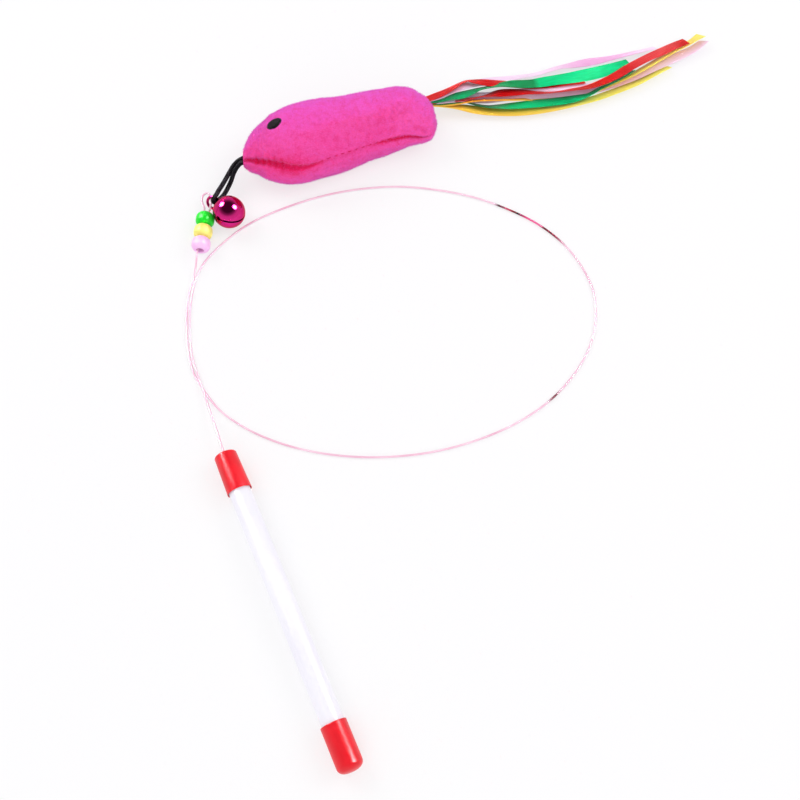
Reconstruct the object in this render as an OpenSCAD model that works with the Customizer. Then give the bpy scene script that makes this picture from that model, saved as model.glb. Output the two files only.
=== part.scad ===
// Cat teaser wand: a plastic tube handle, a looped spring wire, three beads,
// a round bell and a stuffed fish with a tassel of satin ribbons.
// It lies on the floor, z = 0. X runs to the right, Y away from the viewer.

/* [Handle] */
// Length of the handle over both caps
handle_len = 146; // [110:1:220]
// Outside diameter of the handle tube
tube_d = 9.8; // [8:0.1:14]
// Wall of the handle tube
tube_wall = 0.9; // [0.6:0.1:1.5]
// Turn of the handle from the Y axis, seen from above
handle_yaw = 24; // [15:1:30]

/* [End caps] */
// Wall of both caps where they grip the tube
cap_wall = 0.67; // [0.6:0.01:1.5]
// Length of the rear cap with its dome
rear_cap_len = 20; // [12:0.5:30]
// Height of the rear cap's dome
rear_dome = 3; // [2:0.1:4]
// Length of the front cap
front_cap_len = 19; // [14:0.5:25]
// Solid end of the front cap that the wire comes out of
front_cap_end = 7; // [5:0.5:10]
// How much the front cap narrows on each side towards its closed end
front_cap_taper = 0.5; // [0.1:0.05:0.7]

/* [Wire] */
// Diameter of the spring wire
wire_d = 1; // [0.6:0.1:1.2]
// Length of the plug that holds the wire in the tube
plug_len = 14; // [8:1:30]

/* [Beads] */
// Diameter of a bead
bead_d = 9.2; // [8.6:0.1:10]
// Length of a bead
bead_len = 7.1; // [5:0.1:7.5]
// Diameter of the hole through a bead
bead_bore_d = 3.6; // [3.4:0.1:4.5]
// Rounding of a bead's ends
bead_round = 2.2; // [1:0.1:2.4]

/* [Wire eye] */
// How far the eye stands out of the last bead
eye_len = 11.8; // [10:0.1:14]
// Reach of the eye to the side that the bell hangs on
eye_side = 2.45; // [2:0.05:3]

/* [Bell] */
// Diameter of the bell
bell_d = 16; // [14:0.1:17]
// Wall of the bell
bell_wall = 0.5; // [0.3:0.1:0.8]
// Width of the slot in the bell
slot_w = 1; // [0.6:0.1:1.6]
// Diameter of the round hole at each end of the slot
slot_hole_d = 2.4; // [1.8:0.1:3]
// Diameter of the loose pellet
pellet_d = 4; // [3:0.1:5]
// Diameter of the wire that the bell's ring is bent from
ring_wire_d = 1.4; // [1:0.1:1.6]
// Height of the opening in the bell's ring
ring_open = 4.4; // [4:0.1:5.5]
// Width of the opening in the bell's ring
ring_gap = 3.9; // [3.6:0.1:4.4]

/* [Elastic] */
// Diameter of the elastic cord
elastic_d = 2.3; // [1.6:0.1:2.4]
// Diameter of the knot at the end of the elastic cord
knot_d = 5; // [4:0.1:6]

/* [Fish] */
// Length of the fish from mouth to tail
fish_len = 95.8; // [80:1:110]
// Width of the fish where it is widest
fish_w = 47; // [42:0.2:52]
// Thickness of the fish where it is thickest
fish_h = 29.4; // [26:0.2:32]
// Thickness of the plush fabric
plush_t = 1.2; // [0.8:0.1:1.6]
// Depth of the crease that the side seams pull in
seam_sink = 1.6; // [0.5:0.1:2.5]
// Length of the fish's oval eye
eye_patch_len = 7; // [5:0.2:9]
// Width of the fish's oval eye
eye_patch_w = 5.2; // [4:0.2:7]

/* [Tassel] */
// Width of a satin ribbon
ribbon_w = 6.6; // [4:0.2:7]
// Thickness of a satin ribbon
ribbon_t = 0.3; // [0.2:0.05:0.35]
// Diameter of the stitched roll at the root of the ribbons
binding_d = 5.8; // [5:0.2:7]
// Length of the stitched roll
binding_len = 8; // [6:0.5:10]

/* [Hidden] */
$fn = 64;

// Clearances and one overrun for every cut
press_clear = 0.03;
run_clear = 0.1;
soft_clear = 0.3;
face_clear = 0.05;
over = 1;

// Handle: both caps rest on the floor, the wire leaves the front cap at its axis
cap_bore_r = tube_d / 2 + press_clear;
cap_r = cap_bore_r + cap_wall;
axis_z = cap_r;
exit_xy = [-111, -55];
aim = [-sin(handle_yaw), cos(handle_yaw), 0];
wire_exit = [exit_xy[0], exit_xy[1], axis_z];
tube_front = handle_len - front_cap_end;
rear_wall = rear_dome;
rim_flare = 0.35;
rim_flare_len = 3;
edge_round = 1;
wire_hole_d = wire_d + 2 * run_clear;
plug_r = tube_d / 2 - tube_wall - press_clear;
hook_r = 1.5 * wire_d;
hook_leg = wire_d;

// Beads: one straight stack along Y, resting on the floor
bead_r = bead_d / 2;
stack_near = [-130.7, 52];
stack_turn = -3.6;
bead_pitch = bead_len + face_clear;
stack_len = 3 * bead_pitch - face_clear;
leg_w = bead_bore_d / 2 - wire_d / 2 - run_clear;

// A point of the stack's own frame: side to the right, along its axis and above it
function stack_pt(side, along, above) = [
    stack_near[0] + side * cos(stack_turn) - along * sin(stack_turn),
    stack_near[1] + side * sin(stack_turn) + along * cos(stack_turn), bead_r + above];

// Wire eye: places in the stack's own frame, to the side, past the last bead
// and above the stack, as shares of the eye's side reach, length and rise
bell_r = bell_d / 2;
eye_rise = bell_r - bead_r;
hang_share = 0.42;
eye_share = [[-0.5, 0.09, -0.03], [-0.6, 0.31, -0.12], [-1.15, 0.56, -0.3],
    [-1.5, 0.77, -0.35], [-1.33, 0.94, -0.2], [-0.75, 1, 0.1], [-0.12, 0.95, 0.42],
    [0.42, 0.79, 0.72], [0.82, 0.6, 0.94], [1, hang_share, 1], [0.98, 0.27, 1],
    [0.85, 0.12, 0.6], [0.5, 0.05, 0.03]];
eye_up = [0.6, 0, -0.8];
eye_leg_share = 0.9;

// Bell: it rests on the floor and hangs from the eye at the ring
bell_turn = -33;
bell_roll = -22.4;
ring_roll = 45;
ring_r = ring_wire_d / 2;
ring_mid_r = ring_gap / 2 + ring_r;
ring_straight = ring_open - ring_gap / 2;
hang_slack = 1.4;
hang_r = bell_r + ring_open - hang_slack;
ring_way = [-cos(bell_turn), -sin(bell_turn), 0];
ring_across = [-sin(bell_turn), cos(bell_turn), 0];
hang = stack_pt(eye_side, stack_len + hang_share * eye_len, eye_rise);
bell_c = hang - hang_r * ring_way;
bell_split = -0.3 * bell_r;
slot_turn = 94;
slot_stop_r = bell_r + over;

// Elastic: one cord from the knot, round a leg of the ring and back
elastic_r = elastic_d / 2;
ring_side = ring_across * cos(ring_roll) + [0, 0, sin(ring_roll)];
leg_c = bell_c + (bell_r + elastic_r + run_clear) * ring_way + ring_mid_r * ring_side;
wrap_r = ring_r + elastic_r + run_clear;
wrap_pts = [for (a = [100:-30:-80])
    leg_c + wrap_r * ([0, 0, 1] * sin(a) - ring_across * cos(a))];
strand_over = [[-108, 105.3, 11], [-112, 102.2, 11.2], [-114.2, 102, 10.4],
    [-116.9, 100.3, 9], [-119, 97, 7.6], [-120.4, 92.8, 7.4], [-121.8, 88, 8.3],
    [-123, 83.8, 9.7]];
strand_under = [[-121.3, 84.8, 4.6], [-119.6, 88.8, 4.7], [-117.9, 92.4, 5.7],
    [-116.5, 95.6, 7.2], [-114.8, 97.9, 8.9], [-113, 99.2, 10.3], [-110.9, 99.8, 11.1],
    [-106.5, 103.3, 11]];
knot_c = [-105, 106, 11];

// Wire: places on the floor, chosen along the real loop, in millimetres
wire_r = wire_d / 2;
wire_route = [[-113.3, -49.5, 5.3], [-115.5, -43.5, 4.4], [-118.5, -36, 3.1],
    [-121.4, -28.5, 2.1], [-124.2, -21, 1.7], [-127.3, -13.5, 1.4], [-130, -6, 1],
    [-132.1, 3, 0.5], [-133.2, 12, 0.5], [-133.8, 24, 0.5], [-133.3, 32, 0.5],
    [-132, 40, 0.5], [-129.2, 47.3, 0.5], [-124.5, 54.2, 0.5], [-119.2, 60.4, 0.5],
    [-113, 66.4, 0.5], [-105, 72.3, 0.5], [-95.5, 77.5, 0.5], [-83, 83, 0.5],
    [-68, 88, 0.5], [-50, 91.5, 0.5], [-32.5, 92.5, 0.5], [-14, 90.5, 0.5],
    [3, 86.5, 0.5], [20, 79.5, 0.5], [36.5, 69.5, 0.5], [49, 57, 0.5],
    [57, 43, 0.5], [60.5, 32, 0.5], [61, 21, 0.5], [59.5, 10, 0.5],
    [55.5, -1, 0.5], [47.5, -14, 0.5], [36, -26.5, 0.5], [20.5, -37.5, 0.5],
    [2, -46, 0.5], [-17, -51.5, 0.5], [-36, -54, 0.5], [-55, -54, 0.5],
    [-73, -51.5, 0.5], [-90, -46.5, 0.5], [-104.5, -39.5, 0.5], [-115.5, -31.5, 0.5],
    [-124, -21, 0.5], [-129, -13, 0.5], [-132, -4, 0.5], [-134, 6, 0.5],
    [-135, 17, 0.5], [-135.3, 26, 0.5], [-134.6, 33, 0.5], [-133.6, 38, 0.7],
    [-132.9, 42, 1.7], [-132.3, 46.5, 3.3]];

// Fish: cross-sections from the mouth to the tail, as shares of its length,
// width and thickness: place, sideways place, half width, half thickness
mouth = [-110.5, 101.8, 11.2];
fish_share = [[0, 0, 0.2, 0.24], [0.026, 0.06, 0.4, 0.5], [0.057, 0.095, 0.57, 0.66],
    [0.1, 0.12, 0.71, 0.79], [0.145, 0.125, 0.83, 0.91], [0.214, 0.138, 0.94, 0.99],
    [0.31, 0.188, 1, 1], [0.4, 0.245, 0.97, 0.99], [0.485, 0.3, 0.92, 0.96],
    [0.62, 0.39, 0.86, 0.9], [0.745, 0.48, 0.8, 0.83], [0.82, 0.515, 0.76, 0.77],
    [0.87, 0.53, 0.71, 0.71], [0.93, 0.5, 0.59, 0.6], [0.975, 0.47, 0.41, 0.43],
    [0.995, 0.455, 0.2, 0.22], [1, 0.45, 0.02, 0.03]];
floor_sink = 0.5;
seam_angle_front = 34;
seam_angle_back = 29;
seam_spread_angle = 9;
seam_gap_angle = 0.4;
upper_steps = 20;
lower_steps = 18;
stuffing_first = 8;
stitch_len = 2;
stitch_r = 0.25;
stitch_pitch = 3.4;
stitch_first_share = 0.27;
stitch_run_share = 0.58;
pucker_len = 3.2;
pucker_first_share = 0.07;
pucker_pitch_share = 0.035;
pucker_last = 4;
eye_patch_t = 1;
eye_place_share = 0.165;
eye_patch_angle = 102;
eye_patch_turn = 20;
eye_proud_share = 0.1;
thin_share = 0.25;
tiny_share = 0.01;
tiny_angle = 4;

// Tassel: the roll lies against the far side of the tail
root_share = 0.945;
root_angle = 213;
ribbon_first_z = ribbon_t / 2 + face_clear;
ribbon_pitch = 0.7;
root_pitch = 0.5;
middle_layer = 3.5;
ribbon_fall = 34;
// Places along each ribbon on the floor, chosen along the real ones
pink_back_route = [[-9, 150], [2, 157], [15, 161.5], [28, 164], [41, 166], [54, 170.5],
    [67, 174], [81, 176.5], [94, 179], [102, 182]];
red_folded_route = [[-11, 151], [-5, 156], [3, 159.5], [11, 160], [22, 158], [36, 158],
    [50, 161], [62, 165]];
yellow_long_route = [[-8, 144.5], [2, 142], [14, 139.5], [27, 139], [40, 140], [52, 142],
    [65, 146], [78, 151], [92, 157], [102, 164], [111, 170]];
green_low_route = [[-8, 145.5], [3, 143.5], [14, 142.5], [25, 143], [38, 144.5],
    [52, 147], [65, 150], [75, 155.5], [86, 162], [95, 168]];
pink_low_route = [[-7, 146.5], [6, 146], [21, 145.5], [33, 147], [46, 149.5], [59, 151],
    [72, 153], [85, 157], [96, 162.5], [107, 169], [119, 175], [127, 180], [133, 186.5]];
green_wide_route = [[-10, 146.5], [2, 149], [15, 153], [28, 156], [40, 157.5],
    [53, 159.5], [66, 163], [79, 167], [91, 171]];
yellow_thin_route = [[-7, 147.5], [10, 149], [30, 151.5], [50, 154], [66, 155.5],
    [80, 159], [92, 164], [105, 172], [116, 179], [124, 184], [129, 189]];
red_long_route = [[-7, 146.5], [8, 147.5], [21, 149], [33, 149.5], [45, 150], [58, 151.5],
    [70, 154.5], [80, 160], [91, 167], [103, 175], [112, 180], [121, 184.5]];

// A point of a curve through pts at place t, with t = 1 at the second point
function curve_pt(pts, t) =
    let(n = len(pts), i = min(floor(t), n - 2), s = t - i,
        a = pts[max(i - 1, 0)], b = pts[i], c = pts[i + 1], d = pts[min(i + 2, n - 1)])
    0.5 * (2 * b + (c - a) * s + (2 * a - 5 * b + 4 * c - d) * s * s
        + (3 * b - 3 * c + d - a) * s * s * s);
function smooth_route(pts, steps) =
    [for (k = [0:(len(pts) - 1) * steps]) curve_pt(pts, k / steps)];
function unit(v) = v / norm(v);
function direction(pts, i) =
    unit(pts[min(i + 1, len(pts) - 1)] - pts[max(i - 1, 0)]);

// Triangles of a closed grid skin with rows rings of cols points each
function skin_faces(rows, cols) =
    [for (i = [0:rows - 2]) for (j = [0:cols - 1])
        for (f = [[i * cols + j, i * cols + (j + 1) % cols, (i + 1) * cols + j],
            [(i + 1) * cols + j, i * cols + (j + 1) % cols, (i + 1) * cols + (j + 1) % cols]]) f];
function first_cap(cols) = [for (j = [1:cols - 2]) [0, j + 1, j]];
function last_cap(rows, cols) =
    let(s = (rows - 1) * cols) [for (j = [1:cols - 2]) [s, s + j, s + j + 1]];

module skin(rings) {
    rows = len(rings);
    cols = len(rings[0]);
    polyhedron(points = [for (r = rings) for (p = r) p],
        faces = concat(skin_faces(rows, cols), first_cap(cols), last_cap(rows, cols)));
}

// A round tube along pts; up is a direction that the tube never runs along
module tube_along(pts, r, up, sides = 8) {
    skin([for (i = [0:len(pts) - 1])
        let(t = direction(pts, i), s = unit(cross(t, up)), u = cross(s, t))
        [for (j = [0:sides - 1])
            let(a = (j + 0.5) * 360 / sides)
            pts[i] + r * (s * cos(a) + u * sin(a))]]);
}

// Places the handle's pieces: their own Z runs from the rear end to the front
module at_handle() {
    translate(wire_exit - handle_len * aim) rotate([0, 0, handle_yaw])
        rotate([-90, 0, 0]) children();
}

// A quarter round of points about [x, y], from angle a to b
function arc_pts(x, y, r, a, b, steps = 8) =
    [for (k = [0:steps]) let(t = a + (b - a) * k / steps) [x + r * cos(t), y + r * sin(t)]];

module handle_tube() {
    color("white") at_handle() difference() {
        translate([0, 0, rear_wall]) cylinder(r = tube_d / 2, h = tube_front - rear_wall);
        translate([0, 0, rear_wall - over])
            cylinder(r = tube_d / 2 - tube_wall, h = tube_front - rear_wall + 2 * over);
    }
}

module rear_cap() {
    dome_r = (cap_r * cap_r + rear_dome * rear_dome) / (2 * rear_dome);
    color("crimson") at_handle() difference() {
        intersection() {
            cylinder(r = cap_r, h = rear_cap_len);
            union() {
                translate([0, 0, dome_r]) sphere(r = dome_r);
                translate([0, 0, dome_r]) cylinder(r = cap_r, h = rear_cap_len);
            }
        }
        translate([0, 0, rear_wall]) cylinder(r = cap_bore_r, h = rear_cap_len);
    }
}

module front_cap() {
    end_r = cap_r - front_cap_taper;
    color("crimson") at_handle() translate([0, 0, handle_len - front_cap_len]) difference() {
        rotate_extrude() polygon(concat([[0, 0], [cap_r, 0]],
            arc_pts(end_r - edge_round, front_cap_len - edge_round, edge_round, 0, 90),
            [[0, front_cap_len]]));
        translate([0, 0, -over])
            cylinder(r = cap_bore_r, h = front_cap_len - front_cap_end + over);
        cylinder(r1 = cap_bore_r + rim_flare, r2 = cap_bore_r, h = rim_flare_len);
        cylinder(r = wire_hole_d / 2, h = front_cap_len + over);
    }
}

module wire_plug() {
    color("lightgray") at_handle() translate([0, 0, tube_front - plug_len]) difference() {
        cylinder(r = plug_r, h = plug_len);
        translate([0, 0, -over]) cylinder(r = wire_hole_d / 2, h = plug_len + 2 * over);
    }
}

// The end of the wire that the handle hides: straight, with a hooked tip
module wire_tail() {
    hook_z = tube_front - plug_len - hook_r;
    color("deeppink") at_handle() {
        translate([0, 0, hook_z]) cylinder(r = wire_r, h = handle_len - hook_z);
        translate([hook_r, 0, hook_z]) rotate([90, 0, 0]) rotate([0, 0, 180])
            rotate_extrude(angle = 90) translate([hook_r, 0]) circle(r = wire_r);
        translate([hook_r, 0, hook_z - hook_r]) rotate([0, 90, 0])
            cylinder(r = wire_r, h = hook_leg);
    }
}

wire_end = stack_pt(-leg_w, 0, 0);

module wire() {
    color("deeppink") tube_along(concat([wire_exit, wire_exit + 2 * wire_d * aim], wire_route,
        [stack_pt(-leg_w, -2 * wire_d, 0), wire_end]), wire_r, [0, 0, 1]);
}

module wire_eye() {
    bend = concat([stack_pt(-leg_w, stack_len - wire_d, 0)],
        [for (q = eye_share)
            stack_pt(q[0] * eye_side, stack_len + q[1] * eye_len, q[2] * eye_rise)],
        [stack_pt(leg_w, stack_len - wire_d, 0)]);
    color("deeppink") tube_along(concat([wire_end], smooth_route(bend, 2),
        [stack_pt(leg_w, (1 - eye_leg_share) * stack_len, 0)]), wire_r, eye_up);
}

// A bead with round ends; n is its place in the stack, 0 is the nearest
module bead(n) {
    translate(stack_pt(0, n * bead_pitch, 0)) rotate([0, 0, stack_turn])
        rotate([-90, 0, 0]) difference() {
            rotate_extrude() polygon(concat([[0, 0]],
                arc_pts(bead_r - bead_round, bead_round, bead_round, -90, 0),
                arc_pts(bead_r - bead_round, bead_len - bead_round, bead_round, 0, 90),
                [[0, bead_len]]));
            translate([0, 0, -over]) cylinder(r = bead_bore_d / 2, h = bead_len + 2 * over);
        }
}

module bead_pink() {
    color("plum") bead(0);
}

module bead_yellow() {
    color("khaki") bead(1);
}

module bead_green() {
    color("limegreen") bead(2);
}

// Places the bell's pieces: their own +X runs from the ring to the slot's middle
module at_bell() {
    translate(bell_c) rotate([0, 0, bell_turn]) rotate([bell_roll, 0, 0]) children();
}

module bell_hollow() {
    difference() {
        sphere(r = bell_r, $fn = 48);
        sphere(r = bell_r - bell_wall, $fn = 48);
    }
}

module bell_upper_shell() {
    color("mediumvioletred") at_bell() difference() {
        bell_hollow();
        translate([bell_split - face_clear, -bell_d, -bell_d]) cube(2 * bell_d);
    }
}

module bell_lower_shell() {
    slot_x = bell_r * cos(slot_turn);
    color("mediumvioletred") at_bell() difference() {
        bell_hollow();
        translate([bell_split - 2 * bell_d, -bell_d, -bell_d]) cube(2 * bell_d);
        translate([slot_x, -bell_d / 2 - over, -slot_w / 2])
            cube([bell_d, bell_d + 2 * over, slot_w]);
        for (side = [-1, 1]) rotate([0, 0, side * slot_turn]) rotate([0, 90, 0])
            cylinder(r = slot_hole_d / 2, h = slot_stop_r);
    }
}

// The wire ring that the bell hangs by, with its ends on the upper shell
module bell_ring() {
    color("mediumvioletred") translate(bell_c) rotate([0, 0, bell_turn])
        rotate([ring_roll, 0, 0]) difference() {
            union() {
                for (side = [-1, 1]) translate([-bell_r - ring_straight, side * ring_mid_r, 0])
                    rotate([0, 90, 0]) cylinder(r = ring_r, h = ring_straight + bell_r / 2);
                translate([-bell_r - ring_straight, 0, 0]) rotate([0, 0, 90])
                    rotate_extrude(angle = 180) translate([ring_mid_r, 0]) circle(r = ring_r);
            }
            sphere(r = bell_r + press_clear, $fn = 48);
        }
}

module bell_pellet() {
    color("silver") translate(bell_c
        - [0, 0, bell_r - bell_wall - pellet_d / 2 - face_clear]) sphere(r = pellet_d / 2);
}

module elastic_loop() {
    path = concat(strand_over, wrap_pts, strand_under);
    color("black") tube_along(smooth_route(path, 2), elastic_r, ring_way);
}

module elastic_knot() {
    color("black") translate(knot_c) sphere(r = knot_d / 2, $fn = 32);
}

// One cross-section of the fish at share u of its length:
// x, y of the middle, half width, half thickness, height of the middle
function fish_row(u) =
    let(k = len([for (s = fish_share) if (s[0] <= u) 1]) - 1,
        i = min(k, len(fish_share) - 2),
        a = fish_share[i], b = fish_share[i + 1],
        t = (u - a[0]) / (b[0] - a[0]),
        q = curve_pt(fish_share, i + t))
    fish_size(a[0] + t * (b[0] - a[0]), q);
function fish_size(u, q) =
    let(half_w = q[2] * fish_w / 2, half_h = q[3] * fish_h / 2)
    [mouth[0] + u * fish_len, mouth[1] + q[1] * fish_w, half_w, half_h,
        max(mouth[2], half_h - floor_sink)];

function near_seam(u) = seam_angle_front + (seam_angle_back - seam_angle_front) * u;
function crease(angle, seam) =
    let(d = (abs(angle - seam) % 360), e = min(d, 360 - d))
    seam_sink * exp(-e * e / (seam_spread_angle * seam_spread_angle));

// A point of the fish's skin, inset below its face; angle 0 faces the viewer, 90 is up
function fish_pt(u, angle, inset, sink_share = 1) =
    let(row = fish_row(u), c = crease(angle, near_seam(u)) + crease(angle, near_seam(u) + 180),
        share = sink_share * min(1, row[3] / (thin_share * fish_h)),
        ry = max(row[2] - inset - c * share, face_clear),
        rz = max(row[3] - inset - c * share, face_clear))
    [row[0] - inset * u, row[1] - ry * cos(angle), max(row[4] + rz * sin(angle), inset)];

fish_steps = [for (i = [0:len(fish_share) - 2])
    for (t = [0, 0.5]) fish_share[i][0] + t * (fish_share[i + 1][0] - fish_share[i][0])];
fish_us = concat(fish_steps, [1]);

// The angles of a panel's points between its two seams, first to last
function panel_angles(u, from_angle, steps, gap) =
    [for (k = [0:steps]) near_seam(u) + from_angle + gap + (180 - 2 * gap) * k / steps];
function reversed(v) = [for (i = [len(v) - 1:-1:0]) v[i]];

// A shell between two seam angles, made of an outer and an inner layer
module fish_panel(from_angle, steps) {
    skin([for (u = fish_us)
        let(angles = panel_angles(u, from_angle, steps, seam_gap_angle))
        concat([for (a = angles) fish_pt(u, a, 0)],
            [for (a = reversed(angles)) fish_pt(u, a, plush_t)])]);
}

module fish_upper_panel() {
    color("hotpink") difference() {
        fish_panel(0, upper_steps);
        fish_eye_bed(1);
    }
}

module fish_lower_panel() {
    color("lightpink") difference() {
        fish_panel(180, lower_steps);
        fish_eye_bed(-1);
    }
}

module fish_stuffing() {
    gap = plush_t + soft_clear / 2;
    color("ivory") skin([for (i = [stuffing_first:len(fish_us) - 4])
        let(u = fish_us[i], upper = panel_angles(u, 0, upper_steps, seam_gap_angle),
            lower = panel_angles(u, 180, lower_steps, seam_gap_angle))
        [for (a = concat(upper, lower)) fish_pt(u, a, gap)]]);
}

// Short stitches that follow the seam; each is a straight thread
module stitch_at(p, way, length, r) {
    u = unit(way);
    translate(p) rotate([0, acos(u[2]), atan2(u[1], u[0])])
        translate([0, 0, -length / 2]) cylinder(r = r, h = length, $fn = 16);
}

module fish_seam_stitches() {
    count = floor(stitch_run_share * fish_len / stitch_pitch);
    color("crimson") for (side = [0, 180]) for (k = [0:count]) {
        u = stitch_first_share + k * stitch_pitch / fish_len;
        v = u + tiny_share;
        a = fish_pt(u, near_seam(u) + side, -stitch_r - run_clear);
        b = fish_pt(v, near_seam(v) + side, -stitch_r - run_clear);
        stitch_at(a, b - a, stitch_len, stitch_r);
    }
}

// Threads across the seam that gather the mouth
module fish_mouth_stitches() {
    color("crimson") for (side = [0, 180]) for (k = [0:pucker_last]) {
        u = pucker_first_share + pucker_pitch_share * k;
        a = fish_pt(u, near_seam(u) + side - seam_spread_angle, -stitch_r - run_clear);
        b = fish_pt(u, near_seam(u) + side + seam_spread_angle, -stitch_r - run_clear);
        stitch_at((a + b) / 2, b - a, pucker_len, stitch_r);
    }
}

// The oval patch of an eye, lying on the skin; grow adds a clearance round it
module eye_patch(grow) {
    rotate([0, 0, eye_patch_turn]) scale([eye_patch_len / 2 + grow, eye_patch_w / 2 + grow,
        eye_patch_t / 2 + grow]) sphere(r = 1, $fn = 28);
}

module at_eye(side) {
    p = fish_pt(eye_place_share, eye_patch_angle, 0);
    along = fish_pt(eye_place_share + 2 * tiny_share, eye_patch_angle, 0) - p;
    across = fish_pt(eye_place_share, eye_patch_angle + tiny_angle, 0) - p;
    tip = unit(cross(across, along));
    lift = side > 0 ? p + eye_proud_share * eye_patch_t * tip
        : [p[0], p[1], eye_patch_t / 2 + face_clear];
    lean = side > 0 ? [0, acos(tip[2]), atan2(tip[1], tip[0])] : [0, 0, 0];
    translate(lift) rotate(lean) rotate([0, 0, side > 0 ? -lean[2] : 0]) children();
}

module fish_eye_bed(side) {
    at_eye(side) eye_patch(face_clear);
}

module fish_eye_upper() {
    color("black") at_eye(1) eye_patch(0);
}

module fish_eye_lower() {
    color("black") at_eye(-1) eye_patch(0);
}

// Root of the tassel: the middle of the roll, and the way that it faces
function root_pt(u, angle) = fish_pt(u, angle, 0, 0);
root_p = root_pt(root_share, root_angle);
root_along = root_pt(root_share + tiny_share, root_angle)
    - root_pt(root_share - tiny_share, root_angle);
root_around = root_pt(root_share, root_angle - tiny_angle / 2)
    - root_pt(root_share, root_angle + tiny_angle / 2);
root_normal = unit(cross(root_around, root_along));
root_out = unit([root_normal[0], root_normal[1], 0]);
root_c = root_p + (binding_d / 2 + soft_clear) * root_normal;
root_start = root_c + (binding_d / 2 + face_clear) * root_out;

module tassel_binding() {
    color("hotpink") translate(root_c) rotate([0, 0, atan2(root_out[1], root_out[0])])
        rotate([90, 0, 0]) translate([0, 0, -binding_len / 2])
            cylinder(r = binding_d / 2, h = binding_len);
}

// A ribbon's height falls from the roll to its layer in the pile
function ribbon_z(layer, d) =
    let(top = root_c[2] + (layer - middle_layer) * root_pitch,
        low = ribbon_first_z + layer * ribbon_pitch,
        s = min(1, d / ribbon_fall))
    top + (low - top) * s * s * (3 - 2 * s);

module ribbon(route, layer) {
    start = [root_start[0], root_start[1]];
    plan = smooth_route(concat([start], route), 3);
    skin([for (i = [0:len(plan) - 1])
        let(t = i == 0 ? [root_out[0], root_out[1]] : direction(plan, i),
            side = [-t[1], t[0]] * ribbon_w / 2,
            left = plan[i] + side, right = plan[i] - side,
            zl = ribbon_z(layer, norm(left - start)), zr = ribbon_z(layer, norm(right - start)),
            h = ribbon_t / 2)
        [[left[0], left[1], zl - h], [right[0], right[1], zr - h],
            [right[0], right[1], zr + h], [left[0], left[1], zl + h]]]);
}

module ribbon_pink_back() {
    color("thistle") ribbon(pink_back_route, 0);
}

module ribbon_red_folded() {
    color("crimson") ribbon(red_folded_route, 1);
}

module ribbon_yellow_long() {
    color("gold") ribbon(yellow_long_route, 2);
}

module ribbon_green_low() {
    color("lightgreen") ribbon(green_low_route, 3);
}

module ribbon_pink_low() {
    color("thistle") ribbon(pink_low_route, 4);
}

module ribbon_green_wide() {
    color("limegreen") ribbon(green_wide_route, 5);
}

module ribbon_yellow_thin() {
    color("gold") ribbon(yellow_thin_route, 6);
}

module ribbon_red_long() {
    color("red") ribbon(red_long_route, 7);
}

handle_tube();
front_cap();
rear_cap();
wire_plug();
wire_tail();
wire();
wire_eye();
bead_pink();
bead_yellow();
bead_green();
bell_upper_shell();
bell_lower_shell();
bell_ring();
bell_pellet();
elastic_loop();
elastic_knot();
fish_upper_panel();
fish_lower_panel();
fish_stuffing();
fish_seam_stitches();
fish_mouth_stitches();
fish_eye_upper();
fish_eye_lower();
tassel_binding();
ribbon_pink_back();
ribbon_red_folded();
ribbon_yellow_long();
ribbon_green_low();
ribbon_pink_low();
ribbon_green_wide();
ribbon_yellow_thin();
ribbon_red_long();
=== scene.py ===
# %% [markdown]
# # A cat teaser wand
#
# The toy is a white plastic rod with two crimson caps, a springy pink wire that
# lies in one big loop, three beads, a round bell and a plush fish on a black
# elastic, with a tassel of satin ribbons. The solids come from CAD and never
# move. Every visible piece is built here in the same place, with the surface
# and the small shapes that the real toy shows.

import math

import bmesh
import bpy
import numpy as np
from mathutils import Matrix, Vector, noise


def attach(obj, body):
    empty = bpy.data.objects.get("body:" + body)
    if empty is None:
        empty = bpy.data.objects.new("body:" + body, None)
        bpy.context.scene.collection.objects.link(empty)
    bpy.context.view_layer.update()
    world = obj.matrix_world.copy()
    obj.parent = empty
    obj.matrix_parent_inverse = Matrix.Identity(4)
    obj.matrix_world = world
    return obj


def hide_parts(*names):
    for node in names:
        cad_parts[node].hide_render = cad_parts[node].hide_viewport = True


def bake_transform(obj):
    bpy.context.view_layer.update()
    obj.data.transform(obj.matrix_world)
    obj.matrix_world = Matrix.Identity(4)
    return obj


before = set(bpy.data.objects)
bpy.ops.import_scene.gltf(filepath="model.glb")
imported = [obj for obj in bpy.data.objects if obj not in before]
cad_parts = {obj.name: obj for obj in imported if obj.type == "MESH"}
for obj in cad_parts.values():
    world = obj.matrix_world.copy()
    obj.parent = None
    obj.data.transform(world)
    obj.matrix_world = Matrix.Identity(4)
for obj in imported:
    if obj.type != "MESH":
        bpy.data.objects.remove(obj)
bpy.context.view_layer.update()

# %% [markdown]
# ## The camera
#
# The photo looks steeply down on the toy. The camera stands in front of the
# handle's end, 436 mm up, and looks 66 degrees down. Its lens gives the same
# angle of view as the photo.

# %% Place the camera
CAMERA_PLACE = (-0.033, -0.220, 0.436)
LOOK_DOWN = 66.0
HALF_WIDTH_PX, FOCAL_PX = 400.0, 1033.0

eye = bpy.data.cameras.new("photo_camera")
eye.sensor_width = 36.0
eye.lens = eye.sensor_width / 2 * FOCAL_PX / HALF_WIDTH_PX
eye.clip_start, eye.clip_end = 0.01, 20.0
camera = bpy.data.objects.new("photo_camera", eye)
camera.location = CAMERA_PLACE
camera.rotation_euler = (math.radians(90 - LOOK_DOWN), 0, 0)
bpy.context.scene.collection.objects.link(camera)
bpy.context.scene.camera = camera
bpy.context.scene.view_settings.view_transform = "Standard"
print("lens", round(eye.lens, 2), "mm")

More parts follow.
